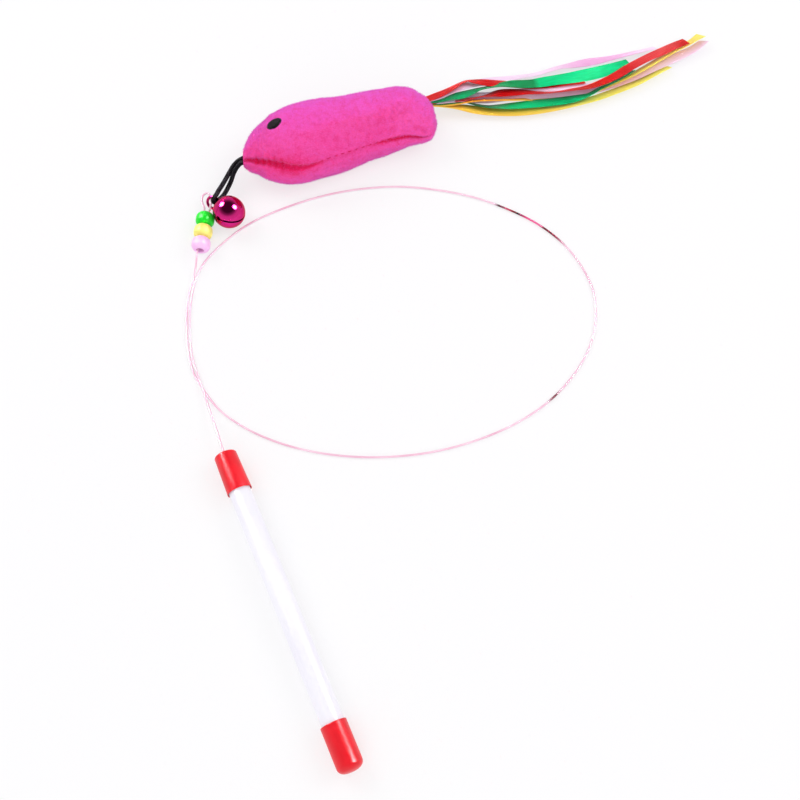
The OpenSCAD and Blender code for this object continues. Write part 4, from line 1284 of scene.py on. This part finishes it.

# %% [markdown]
# ### Plush: cloth below, pile on top
#
# Short plush is a knit with a dense pile that leans one way and scatters light
# at its tips, so it looks lighter at its edges; here the blades are painted
# paler towards their tips, a painted sheen. The cloth takes a mottled pink and
# a sheen. Its creases and the hollow under the jaw are painted darker and redder,
# a painted shade where the pile closes and light bounces from pink to pink, and
# the side that faces up and away is painted paler, a painted light.

# %% Plush mottle group and the two plush finishes
plush_mottle, i, o = new_group(
    "Plush mottle",
    [("Vector", VECTOR, (0, 0, 0)), ("Colour", COLOUR, WHITE), ("Other", COLOUR, WHITE),
     ("Deep", COLOUR, WHITE), ("Crease", VALUE, 0.0), ("Pale", COLOUR, WHITE),
     ("Brushed", VALUE, 0.0)],
    [("Colour", COLOUR), ("Height", VALUE)])
swirls = add(plush_mottle, "ShaderNodeTexNoise", {
    "Vector": i["Vector"], "Scale": 400.0, "Detail": 2.0, "Roughness": 0.6, "Distortion": 0.5})
swirl_shade = add(plush_mottle, "ShaderNodeMapRange", {
    "Value": swirls.outputs[0], "From Min": 0.44, "From Max": 0.72, "To Min": 0.0, "To Max": 0.46})
patches = add(plush_mottle, "ShaderNodeTexNoise", {
    "Vector": i["Vector"], "Scale": 55.0, "Detail": 3.0, "Roughness": 0.55})
tufts = add(plush_mottle, "ShaderNodeTexNoise", {
    "Vector": i["Vector"], "Scale": 900.0, "Detail": 2.0, "Roughness": 0.7})
brushed = add(plush_mottle, "ShaderNodeMapRange", {
    "Value": patches.outputs[0], "From Min": 0.38, "From Max": 0.62})
mixed = mix_colour(plush_mottle, brushed.outputs[0], i["Colour"], i["Other"])
# Painted light: the side that faces up and away turns to the pale colour.
paled = mix_colour(plush_mottle, i["Brushed"], mixed, i["Pale"])
first = mix_colour(plush_mottle, swirl_shade.outputs[0], paled, i["Deep"])
tuft_shade = add(plush_mottle, "ShaderNodeMapRange", {
    "Value": tufts.outputs[0], "From Min": 0.3, "From Max": 0.7, "To Min": 0.0, "To Max": 0.3})
second = mix_colour(plush_mottle, tuft_shade.outputs[0], first, i["Deep"])
# Painted shade: where the crease share is high, the colour turns to the deep crimson.
plush_mottle.links.new(mix_colour(plush_mottle, i["Crease"], second, i["Deep"]), o["Colour"])
plush_mottle.links.new(tufts.outputs[0], o["Height"])


def plush(name, colour, other, deep, lift, tip=None):
    made, tree, shader, place = new_material(
        name, Roughness=0.85, Sheen_Weight=lift, Sheen_Roughness=0.45,
        Sheen_Tint=srgb(255, 170, 245), Specular_IOR_Level=0.15)
    # Painted shade: the crease share darkens the plush.
    crease_shade = add(tree, "ShaderNodeAttribute", attribute_name="crease").outputs["Fac"]
    # Painted light: the far side's share paints the plush paler.
    far_side_lit = add(tree, "ShaderNodeAttribute", attribute_name="far_side_light").outputs["Fac"]
    nap_of = use_group(tree, plush_mottle, Vector=place.outputs["Object"], Colour=colour,
                       Other=other, Deep=deep, Crease=crease_shade, Brushed=far_side_lit,
                       Pale=srgb(255, 112, 244))
    shown = nap_of["Colour"]
    # Painted sheen: the pile's blades are painted paler towards their tips.
    if tip:
        along = add(tree, "ShaderNodeAttribute", attribute_name="tip").outputs["Fac"]
        shown = mix_colour(tree, math_node(tree, "MULTIPLY", along, 0.8), shown, tip)
    tree.links.new(shown, shader.inputs["Base Color"])
    bump_on(tree, shader, nap_of["Height"], 0.5, 0.0003)
    return made


plush_pink = plush("plush_pink", srgb(255, 84, 172), srgb(255, 96, 186), srgb(228, 22, 92), 0.45)
# The pile's tip colour is a painted sheen.
pile_pink = plush("plush_pile", srgb(255, 104, 220), srgb(255, 112, 228), srgb(255, 52, 148), 0.5,
                  tip=srgb(255, 126, 230))
paint(cover, plush_pink)
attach(cover, "fish")
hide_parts("fish_upper_panel", "fish_lower_panel", "fish_stuffing")
print("plush finishes:", plush_pink.name, pile_pink.name)

# %% Finding the cover's surface
from mathutils.bvhtree import BVHTree

cover_tree = BVHTree.FromPolygons([v.co.copy() for v in cover.data.vertices],
                                  [tuple(p.vertices) for p in cover.data.polygons])


def on_cover(point, toward):
    """The cover's place and normal in mm, met from a point in mm along a direction."""
    hit, normal, _, _ = cover_tree.ray_cast(Vector(np.asarray(point, float) * MM),
                                            Vector(unit(toward)))
    if hit is None:
        hit, normal, _, _ = cover_tree.find_nearest(Vector(np.asarray(point, float) * MM))
    return np.array(hit) / MM, np.array(normal)


def seam_spot(u, side, off=0.0):
    """A place in the seam at share u of the length; side is 0 near and 180 far."""
    angle = near_seam(u) + side + off
    outside, inside = fish_pt(u, angle, -8), fish_pt(u, angle, 6)
    return on_cover(outside, inside - outside)


spot, normal = seam_spot(0.3, 0)
print("the near seam at 0.3 is", np.round(spot, 1))

# %% [markdown]
# ### Stitches
#
# A sewing thread comes up, runs a short way over the cloth and goes down again.
# One tree bends a thread over the surface and puts it at each point of a row,
# turned along the seam and standing on the cloth. The row's points carry both
# directions as attributes. It makes the seam's stitches and the mouth's.

# %% The stitch's tree
stitch_tree, given, out = tree_with("Thread stitches", [
    ("Length", FLOAT, 0.002), ("Thread radius", FLOAT, 0.00022), ("Rise", FLOAT, 0.0003),
    ("Dip", FLOAT, 0.0004)])


def combined(tree, x, y, z):
    return add(tree, "ShaderNodeCombineXYZ", {0: x, 1: y, 2: z}).outputs[0]


half_length = math_node(stitch_tree, "MULTIPLY", given["Length"], 0.5)
half_back = math_node(stitch_tree, "MULTIPLY", half_length, -1.0)
down = math_node(stitch_tree, "MULTIPLY", given["Dip"], -1.0)
peak = math_node(stitch_tree, "MULTIPLY_ADD", given["Rise"], 2.0, given["Dip"])
thread_line = add(stitch_tree, "GeometryNodeCurveQuadraticBezier", {
    "Resolution": 9, "Start": combined(stitch_tree, half_back, 0.0, down),
    "Middle": combined(stitch_tree, 0.0, 0.0, peak),
    "End": combined(stitch_tree, half_length, 0.0, down)})
thread_round = add(stitch_tree, "GeometryNodeCurvePrimitiveCircle",
                   {"Resolution": 8, "Radius": given["Thread radius"]})
one_stitch = add(stitch_tree, "GeometryNodeCurveToMesh", {
    "Curve": thread_line.outputs[0], "Profile Curve": thread_round.outputs[0],
    "Fill Caps": True})


def vector_attribute(tree, label):
    return add(tree, "GeometryNodeInputNamedAttribute", {"Name": label},
               data_type="FLOAT_VECTOR").outputs["Attribute"]


run_way = add(stitch_tree, "FunctionNodeAlignRotationToVector",
              {"Vector": vector_attribute(stitch_tree, "way")}, axis="X")
stand = add(stitch_tree, "FunctionNodeAlignRotationToVector", {
    "Rotation": run_way.outputs[0], "Vector": vector_attribute(stitch_tree, "out")},
    axis="Z", pivot_axis="X")
sewn = add(stitch_tree, "GeometryNodeInstanceOnPoints", {
    "Points": given["Geometry"], "Instance": one_stitch.outputs[0],
    "Rotation": stand.outputs[0]})
end_tree(stitch_tree, given, out, sewn.outputs[0])


def row_of_points(name, places, ways, outs):
    mesh = bpy.data.meshes.new(name)
    mesh.from_pydata((np.array(places) * MM).tolist(), [], [])
    for label, values in (("way", ways), ("out", outs)):
        mesh.attributes.new(label, "FLOAT_VECTOR", "POINT").data.foreach_set(
            "vector", np.array(values, float).ravel())
    return mesh


print("tree:", stitch_tree.name)

# %% [markdown]
# The thread is a twisted polyester one. Its twist is a fine slanted line, so the
# material only needs a bump with waves across the piece, and a trace of sheen.
# The same recipe in black serves the eyes.

# %% Thread finish and both rows of stitches
def thread_finish(name, colour, dark, lift, shine, gloss=0.55):
    made, tree, shader, place = new_material(name, Roughness=gloss, Sheen_Weight=lift,
                                             Specular_IOR_Level=shine)
    at = add(tree, "ShaderNodeSeparateXYZ", {0: place.outputs["Object"]})
    slanted = math_node(tree, "ADD", at.outputs["X"], at.outputs["Z"])
    woven = use_group(tree, threads, Along=at.outputs["Y"], Across=slanted, Threads=3200.0,
                      Floats=900.0, Depth=0.5)
    tree.links.new(mix_colour(tree, woven["Shade"], dark, colour), shader.inputs["Base Color"])
    bump_on(tree, shader, woven["Height"], 0.4, 0.0001)
    return made


thread_crimson = thread_finish("thread_crimson", srgb(232, 12, 90), srgb(194, 4, 62),
                               lift=0.05, shine=0.15)
STITCH_PITCH, SEWN_FROM, SEWN_TO = 3.4, 0.27, 0.85
places, ways, outs = [], [], []
for side in (0, 180):
    for u in np.arange(SEWN_FROM, SEWN_TO, STITCH_PITCH / FISH_LEN):
        (here, n), (there, _) = seam_spot(u, side), seam_spot(u + 0.01, side)
        places.append(here)
        ways.append(unit(there - here))
        outs.append(n)
seam_row = grown("seam_stitches", stitch_tree, row_of_points("seam_row", places, ways, outs),
                 thread_crimson, Length=0.0021, Rise=0.0003)
places, ways, outs = [], [], []
for side in (0, 180):
    for u in PUCKERS:
        (low, _), (high, _), (here, n) = (seam_spot(u, side, off) for off in (-9, 9, 0))
        places.append(here)
        ways.append(unit(high - low))
        outs.append(n)
mouth_row = grown("mouth_gathers", stitch_tree, row_of_points("mouth_row", places, ways, outs),
                  thread_crimson, Length=0.0036, Rise=0.0005)
for made, node in ((seam_row, "fish_seam_stitches"), (mouth_row, "fish_mouth_stitches")):
    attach(made, "fish")
    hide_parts(node)
    print(made.name, len(made.data.polygons), "faces")

# %% [markdown]
# ### The sewn eyes
#
# Each eye is an oval of black satin stitch: threads side by side, padded below,
# so the patch is a low dome with a faint streaky shine. The upper eye's threads
# are laid on the cover point by point. The lower eye is pressed flat, because
# the fish lies on it.

# %% Sew both eyes
EYE_LONG, EYE_WIDE, EYE_THREADS, THREAD_R = 3.9, 3.3, 19, 0.25
THREAD_LIFT, THREAD_DIP = 0.1, 0.35
EYE_SEEN, EYE_TURN = (274, 123.5), math.radians(20)
eye_black = thread_finish("eye_black", srgb(10, 6, 9), srgb(3, 2, 3), lift=0.0, shine=0.08,
                          gloss=0.45)


def sewn_eye(name, centre, first, up, on_cloth, dome):
    """An oval of threads across `first`; on cloth each thread follows the cover."""
    first = unit(first - up * (first @ up))
    second = np.cross(up, first)
    vertices, faces, sides, steps = [], [], 8, 9
    for k in range(EYE_THREADS):
        a = (k / (EYE_THREADS - 1) * 2 - 1) * 0.97
        reach = EYE_WIDE * math.sqrt(1 - a * a)
        line = []
        for t in np.linspace(-1, 1, steps):
            flat = centre + first * a * EYE_LONG + second * reach * t
            on, n = on_cover(flat + up * 5, -up) if on_cloth else (flat, up)
            height = dome * (1 - a * a) * (1 - t * t) ** 0.5
            line.append(on + n * (THREAD_LIFT + height) - n * (THREAD_DIP if abs(t) == 1 else 0))
        line = np.array(line)
        tangent, side, lift = path_frames(line, first)
        for j, p in enumerate(line):
            for s in range(sides):
                turn = 2 * math.pi * s / sides
                round_it = math.cos(turn) * side[j] + math.sin(turn) * lift[j]
                vertices.append(p + THREAD_R * round_it)
        base = k * steps * sides
        for j in range(steps - 1):
            for s in range(sides):
                r = (s + 1) % sides
                faces.append((base + j * sides + s, base + j * sides + r,
                              base + (j + 1) * sides + r, base + (j + 1) * sides + s))
        faces.append(tuple(base + s for s in range(sides))[::-1])
        faces.append(tuple(base + (steps - 1) * sides + s for s in range(sides)))
    mesh = bpy.data.meshes.new(name)
    mesh.from_pydata((np.array(vertices) * MM).tolist(), [], faces)
    face_out(mesh)
    mesh.shade_smooth()
    made = new_object(name, mesh)
    paint(made, eye_black)
    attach(made, "fish")
    return made


eye_at, eye_out = on_cover(CAMERA_AT, sight(*EYE_SEEN))
EYE_WAY = np.array([math.cos(EYE_TURN), math.sin(EYE_TURN), 0])
upper_eye = sewn_eye("sewn_eye_upper", eye_at, EYE_WAY, eye_out, on_cloth=True, dome=0.55)
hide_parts("fish_eye_upper")
lower_eye = sewn_eye("sewn_eye_lower", np.array([*LOWER_EYE, 0.75]), EYE_WAY,
                     np.array([0, 0, -1.0]), on_cloth=False, dome=0.2)
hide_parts("fish_eye_lower")
print("each eye has", EYE_THREADS, "threads")

# %% [markdown]
# ### The pile
#
# The pile is tens of thousands of tiny leaning blades, three faces each. A tree
# scatters them over the cover by an attribute that is low in the creases, under
# the eyes and where the fish lies on the floor. They lean towards the tail, as
# brushed plush does, with some disorder.

# %% The pile's tree
pile_tree, given, out = tree_with("Plush pile", [
    ("Density", FLOAT, 5.0e6), ("Blade", FLOAT, 0.0009), ("Width", FLOAT, 0.00009),
    ("Lean", FLOAT, 0.55), ("Disorder", FLOAT, 0.45), ("Seed", "NodeSocketInt", 7)])
pile_share = add(pile_tree, "GeometryNodeInputNamedAttribute", {"Name": "pile"})
scatter = add(pile_tree, "GeometryNodeDistributePointsOnFaces", {
    "Mesh": given["Geometry"], "Seed": given["Seed"],
    "Density": math_node(pile_tree, "MULTIPLY", given["Density"],
                         pile_share.outputs["Attribute"])})
blade = add(pile_tree, "GeometryNodeMeshCone", {
    "Vertices": 3, "Radius Top": 0.0, "Radius Bottom": given["Width"], "Depth": given["Blade"]},
    fill_type="NONE")
height_up = position_in(pile_tree)["Z"]
tipped = add(pile_tree, "GeometryNodeStoreNamedAttribute", {
    "Geometry": blade.outputs[0], "Name": "tip",
    "Value": math_node(pile_tree, "DIVIDE", height_up, given["Blade"])}, data_type="FLOAT")


def vector_node(tree, operation, *values):
    return add(tree, "ShaderNodeVectorMath", dict(enumerate(values)), operation=operation)


def scaled(tree, vector, by):
    made = vector_node(tree, "SCALE", vector)
    tree.links.new(by, made.inputs["Scale"])
    return made.outputs[0]


chance = add(pile_tree, "FunctionNodeRandomValue", {
    0: (-1.0, -1.0, -1.0), 1: (1.0, 1.0, 1.0), "Seed": 11}, data_type="FLOAT_VECTOR")
tailward = scaled(pile_tree, combined(pile_tree, 0.93, 0.37, 0.0), given["Lean"])
stray = scaled(pile_tree, chance.outputs[0], given["Disorder"])
blade_way = vector_node(pile_tree, "ADD", vector_node(
    pile_tree, "ADD", scatter.outputs["Normal"], tailward).outputs[0], stray).outputs[0]
blade_turn = add(pile_tree, "FunctionNodeAlignRotationToVector", {"Vector": blade_way}, axis="Z")
blade_size = add(pile_tree, "FunctionNodeRandomValue", {2: 0.65, 3: 1.15, "Seed": 5})
planted = add(pile_tree, "GeometryNodeInstanceOnPoints", {
    "Points": scatter.outputs["Points"], "Instance": tipped.outputs[0],
    "Rotation": blade_turn.outputs[0], "Scale": blade_size.outputs[1]})
end_tree(pile_tree, given, out, planted.outputs[0])
print("tree:", pile_tree.name)

# %% Grow the pile on the cover
BARE_RIM, BY_EYE, OFF_FLOOR, FACING_DOWN = 0.3, 6, 1.6, -0.4
co, normals = point_array(cover.data), normal_array(cover.data)
to_eye = np.linalg.norm((co - eye_at) @ np.stack(
    [EYE_WAY / (EYE_LONG + BARE_RIM), np.cross(eye_out, EYE_WAY) / (EYE_WIDE + BARE_RIM)]).T,
    axis=1)
pile_here = np.clip(1 - 0.7 * shade, 0, 1) * (share > 0.004)
pile_here *= (to_eye > 1) | (np.linalg.norm(co - eye_at, axis=1) > BY_EYE)
pile_here *= (co[:, 2] > OFF_FLOOR) | (normals[:, 2] > FACING_DOWN)
store(cover.data, "pile", pile_here)
pile = grown("plush_pile", pile_tree, cover.data, pile_pink)
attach(pile, "fish")
print("the pile has", len(pile.data.polygons) // 3, "blades")

# %% [markdown]
# ## The knot and the tassel's root
#
# Inside the mouth the elastic ends in a knot that can't pull out. It is drawn as
# what it is, a cord wound through itself. The ribbons are caught in a small roll
# of plush, sewn round with thread, on the far corner of the tail.

# %% Tie the knot
KNOT_R = 1.55
t = np.linspace(0, 2 * math.pi, 160)
knot_line = KNOT_C + np.stack([(1 + 0.45 * np.cos(3 * t)) * np.cos(2 * t),
                               (1 + 0.45 * np.cos(3 * t)) * np.sin(2 * t),
                               0.75 * np.sin(3 * t)], 1) * KNOT_R
knot = cord_skin("elastic_knot_tied", knot_line, 0.75, 16, relief=braid)
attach(knot, "tether_end")
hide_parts("elastic_knot")
print("the knot spans", [round(v / MM, 1) for v in knot.dimensions], "mm")

# %% Roll and sew the tassel's root
ROLL_WAY = np.array([-0.566916, 0.823776, 0])
ROOT_C = np.array([-17.683, 136.932, 6.4]) - ROOT_OUT * 2.4 + ROLL_WAY * 1.8
ROLL_R, ROLL_LEN, ROLL_EDGE, FULL, TIGHT = 2.9, 8.0, 0.9, 3.0, 2.78
WRAPS, WRAP_HALF = 5, 1.4
roll = turned("tassel_roll", [
    (0, 0), *quarter(ROLL_R - ROLL_EDGE, ROLL_EDGE, ROLL_EDGE, 270, 360, 5),
    (FULL, 2.4), (TIGHT, 3.1), (FULL, 4.0), (TIGHT, 4.9), (FULL, 5.6),
    *quarter(ROLL_R - ROLL_EDGE, ROLL_LEN - ROLL_EDGE, ROLL_EDGE, 0, 90, 5), (0, ROLL_LEN)],
    ROOT_C - ROLL_WAY * ROLL_LEN / 2, ROLL_WAY, UP, 48)
turns = np.linspace(0, 2 * math.pi * WRAPS, 300)
along = np.linspace(-WRAP_HALF, WRAP_HALF, len(turns)) + 0.3 * np.sin(3 * turns / WRAPS)
wrap = (ROOT_C + ROLL_WAY * along[:, None]
        + (ROLL_R + 0.05) * (np.cos(turns)[:, None] * np.array(UP)
                            + np.sin(turns)[:, None] * ROOT_OUT))
binding = cord_skin("tassel_binding_thread", wrap, 0.2, 8)
for made, material, slot_name in ((roll, plush_pink, "plush_pink"),
                                  (binding, thread_crimson, "thread_crimson")):
    paint(made, material)
    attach(made, "tassel")
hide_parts("tassel_binding")
print("roll:", [round(v / MM, 1) for v in roll.dimensions], "mm")

# %% [markdown]
# ## The wire's coating
#
# The coating is a pale glossy pink. Some stretches are painted dark wine, black
# or deeper pink: painted reflections of the dark room in the glossy wire. A
# colour ramp along the wire's own UV map puts each painted stretch at its place
# on the length, with a little noise so that no edge is a clean ring.

# %% Pink coating with its marks
# Painted reflection: the dark and deeper pink stops along the wire stand for the dark room
# mirrored in it.
PALE, WINE, BLACK = srgb(254, 216, 234), srgb(122, 14, 46), srgb(24, 8, 14)
WIRE_REFLECTIONS = [
    (0.0, PALE), (0.4070, PALE), (0.4088, srgb(60, 8, 26)), (0.4132, srgb(70, 10, 30)),
    (0.4160, srgb(240, 130, 165)), (0.4195, srgb(200, 20, 60)), (0.4215, srgb(180, 20, 50)),
    (0.4224, BLACK), (0.4290, BLACK), (0.4304, srgb(240, 70, 136)), (0.4422, srgb(246, 104, 160)),
    (0.4474, srgb(240, 120, 165)), (0.4492, WINE), (0.4597, WINE), (0.4625, srgb(176, 60, 96)),
    (0.4730, PALE), (0.6050, PALE), (0.6062, WINE), (0.6130, WINE), (0.6146, PALE), (1.0, PALE)]


def pink_coating(name, marks):
    made, tree, shader, place = new_material(name, Coat_Weight=0.4, Coat_Roughness=0.1)
    at = place.outputs["Object"]
    rough_edge = add(tree, "ShaderNodeTexNoise", {"Vector": at, "Scale": 900.0, "Detail": 3.0})
    along = add(tree, "ShaderNodeSeparateXYZ", {0: place.outputs["UV"]}).outputs["X"]
    shifted = math_node(tree, "ADD", along, math_node(
        tree, "MULTIPLY", 0.0022, math_node(tree, "SUBTRACT", rough_edge.outputs[0], 0.5)))
    coat = ramp(tree, shifted, marks)
    body = use_group(tree, moulded, Vector=at, Colour=WHITE, Shade=srgb(244, 222, 232),
                     Scale=70.0, Gloss=0.3, Gloss_drift=0.15)
    tree.links.new(mix_colour(tree, 1.0, coat, body["Colour"], "MULTIPLY"),
                   shader.inputs["Base Color"])
    tree.links.new(body["Roughness"], shader.inputs["Roughness"])
    bump_on(tree, shader, body["Height"], 0.15, 0.0002)
    return made


# Only the free wire takes the painted reflections; the loop and the tail stay plain pink.
wire_pink = pink_coating("wire_pink", WIRE_REFLECTIONS)
wire_plain = pink_coating("wire_pink_plain", [(0.0, PALE), (1.0, PALE)])
paint(wire_skin, wire_pink)
for made in (wire_loop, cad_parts["wire_tail"]):
    paint(made, wire_plain)
paint(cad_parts["wire_plug"], plug_grey)
print("marks on the wire:", len(WIRE_REFLECTIONS))

# %% [markdown]
# ## Satin and elastic
#
# Satin's long floating threads shine across their own direction, so its shader
# is anisotropic and its highlight is stretched. A slow drift along the ribbon
# and fine streaks break the colour up, and painted shade turns stretches of each
# ribbon darker. The elastic's threads are matt black with a little grey sheen.

# %% Satin in four colours
def satin(name, colour, dark, light, shade_colour, shine=0.4):
    made, tree, shader, place = new_material(
        name, Roughness=0.34, Anisotropic=0.65, Sheen_Weight=0.04, Sheen_Roughness=0.35,
        Specular_IOR_Level=shine, Specular_Tint=light)
    uv = add(tree, "ShaderNodeSeparateXYZ", {0: place.outputs["UV"]})
    across = math_node(tree, "MULTIPLY", uv.outputs["Y"], 2.0)
    woven = use_group(tree, threads, Along=uv.outputs["X"], Across=across, Threads=54.0,
                      Floats=40.0, Depth=0.35)
    streak_at = add(tree, "ShaderNodeMapping", {"Vector": place.outputs["UV"],
                                                "Scale": (0.9, 26.0, 1.0)})
    streaks = add(tree, "ShaderNodeTexNoise", {"Vector": streak_at.outputs[0], "Scale": 1.0,
                                               "Detail": 3.0})
    flow = add(tree, "ShaderNodeMapRange", {"Value": streaks.outputs[0], "From Min": 0.36,
                                            "From Max": 0.66})
    body = mix_colour(tree, flow.outputs[0], dark, colour)
    woven_body = mix_colour(tree, woven["Shade"], dark, body)
    # Painted shade: where the ribbon's shade share is high, the satin turns to its darker shade
    # colour and its gloss dulls.
    painted_shade_share = add(tree, "ShaderNodeAttribute", attribute_name="back").outputs["Fac"]
    tree.links.new(mix_colour(tree, painted_shade_share, woven_body, shade_colour), shader.inputs["Base Color"])
    tree.links.new(math_node(tree, "MULTIPLY_ADD", painted_shade_share, 0.25, 0.32),
                   shader.inputs["Roughness"])
    bump_on(tree, shader, woven["Height"], 0.25, 0.00008)
    return made


# The fourth colour of each satin is its painted shade colour.
satin_of = {
    "red": satin("satin_red", srgb(238, 84, 84), srgb(228, 44, 50), srgb(255, 100, 100),
                 srgb(200, 0, 4), shine=0.2),
    "green": satin("satin_green", srgb(2, 222, 144), srgb(0, 200, 118), srgb(110, 255, 190),
                   srgb(0, 122, 64)),
    "yellow": satin("satin_yellow", srgb(255, 250, 122), srgb(255, 238, 96),
                    srgb(255, 255, 170), srgb(255, 172, 44)),
    "pink": satin("satin_pink", srgb(255, 232, 253), srgb(253, 216, 247), srgb(255, 245, 255),
                  srgb(236, 150, 212))}
for name, made in ribbon_objects.items():
    paint(made, satin_of[name.split("_")[0]])
print("satins:", list(satin_of))

# %% Black elastic
elastic_black, tree, shader, place = new_material(
    "elastic_black", Roughness=0.7, Sheen_Weight=0.03, Sheen_Tint=srgb(190, 180, 205),
    Specular_IOR_Level=0.12)
worn_grey = add(tree, "ShaderNodeTexNoise", {"Vector": place.outputs["Object"], "Scale": 700.0,
                                             "Detail": 3.0})
tone = add(tree, "ShaderNodeMapRange", {"Value": worn_grey.outputs[0], "From Min": 0.35,
                                        "From Max": 0.7})
tree.links.new(mix_colour(tree, tone.outputs[0], srgb(4, 2, 5), srgb(18, 14, 21)),
               shader.inputs["Base Color"])
bump_on(tree, shader, worn_grey.outputs[0], 0.4, 0.0001)
for made in (elastic, knot):
    paint(made, elastic_black)
print("painted the elastic and the knot")

# %% [markdown]
# ## The floor, the room and the lamps
#
# The photo is a catalogue shot on white paper. The paper keeps a faint shadow,
# so only part of its white is added for the rays that see it directly. The bell
# mirrors the room: bright paper all round, a darker space overhead and two
# bright panes, one at the back left and one at the right. Two soft boxes on the
# same sides and a fill from the front give the light itself, and no reflection
# shows them.

# %% Lay the paper
paper = bpy.data.materials.new("white_paper")
paper.use_nodes = True
tree = paper.node_tree
tree.nodes.remove(tree.nodes["Principled BSDF"])
light_path = tree.nodes.new("ShaderNodeLightPath")
seen = math_node(tree, "MAXIMUM", light_path.outputs["Is Camera Ray"], math_node(
    tree, "MAXIMUM", light_path.outputs["Is Glossy Ray"],
    light_path.outputs["Is Transmission Ray"]))
PAPER_GLOW = 0.66
matt = add(tree, "ShaderNodeBsdfDiffuse", {"Color": srgb(247, 245, 249)})
glow = add(tree, "ShaderNodeEmission", {"Color": WHITE, "Strength": 1.0})
both_ways = add(tree, "ShaderNodeMixShader", {
    0: math_node(tree, "MULTIPLY", seen, PAPER_GLOW), 1: matt.outputs[0], 2: glow.outputs[0]})
tree.links.new(both_ways.outputs[0], tree.nodes["Material Output"].inputs["Surface"])
FLOOR_HALF, FLOOR_LEVEL = 4.0, -0.0002
floor_mesh = bpy.data.meshes.new("floor")
floor_mesh.from_pydata([(x * FLOOR_HALF, y * FLOOR_HALF, FLOOR_LEVEL)
                        for x, y in ((-1, -1), (1, -1), (1, 1), (-1, 1))], [], [(0, 1, 2, 3)])
floor = new_object("paper_floor", floor_mesh)
paint(floor, paper)
print("paper:", 2 * FLOOR_HALF, "m wide")

# %% The room: bright round the horizon, dim overhead
world = bpy.data.worlds.new("studio")
world.use_nodes = True
bpy.context.scene.world = world
tree = world.node_tree
sky = add(tree, "ShaderNodeTexCoord")
steep = add(tree, "ShaderNodeSeparateXYZ", {0: sky.outputs["Generated"]}).outputs["Z"]
room = ramp(tree, steep, [(0.0, (0.92, 0.92, 0.92)), (0.35, (0.85, 0.85, 0.86)),
                          (0.6, (0.3, 0.3, 0.31)), (0.8, (0.06, 0.055, 0.06))])
BOX_WAYS = [(-0.63, 0.43, 0.64), (0.715, 0.18, 0.68)]
for way in BOX_WAYS:
    towards = add(tree, "ShaderNodeVectorMath", {0: sky.outputs["Generated"], 1: tuple(unit(way))},
                  operation="DOT_PRODUCT").outputs["Value"]
    for low, high, strength in ((0.955, 0.964, 6.0), (0.974, 0.98, 46.0)):
        pane = add(tree, "ShaderNodeMapRange", {"Value": towards, "From Min": low,
                                                "From Max": high, "To Max": strength})
        room = mix_colour(tree, 1.0, room, pane.outputs[0], "ADD")
light_path = tree.nodes.new("ShaderNodeLightPath")
SKY_LEVEL = 0.74
filled = mix_colour(tree, light_path.outputs["Is Glossy Ray"], (SKY_LEVEL,) * 3 + (1,), room)
shown = mix_colour(tree, light_path.outputs["Is Camera Ray"], filled, WHITE)
tree.links.new(shown, tree.nodes["Background"].inputs["Color"])
print("world:", world.name)

# %% Hang the soft boxes
CENTRE = Vector((0, 0.05, 0))
SOFT_BOXES = [("back_left_box", BOX_WAYS[0], 1.3, 0.6, 3.3),
              ("right_box", BOX_WAYS[1], 1.3, 0.6, 3.8),
              ("front_fill", (-0.15, -0.8, 0.5), 1.4, 0.9, 3.1)]
for name, way, far, wide, power in SOFT_BOXES:
    lamp = bpy.data.lights.new(name, "AREA")
    lamp.shape, lamp.size, lamp.energy = "SQUARE", wide, power
    held = bpy.data.objects.new(name, lamp)
    held.visible_glossy = False
    held.location = CENTRE + Vector(way).normalized() * far
    held.rotation_euler = (CENTRE - held.location).to_track_quat("-Z", "Y").to_euler()
    bpy.context.scene.collection.objects.link(held)
    print(name, "at", [round(v, 2) for v in held.location])
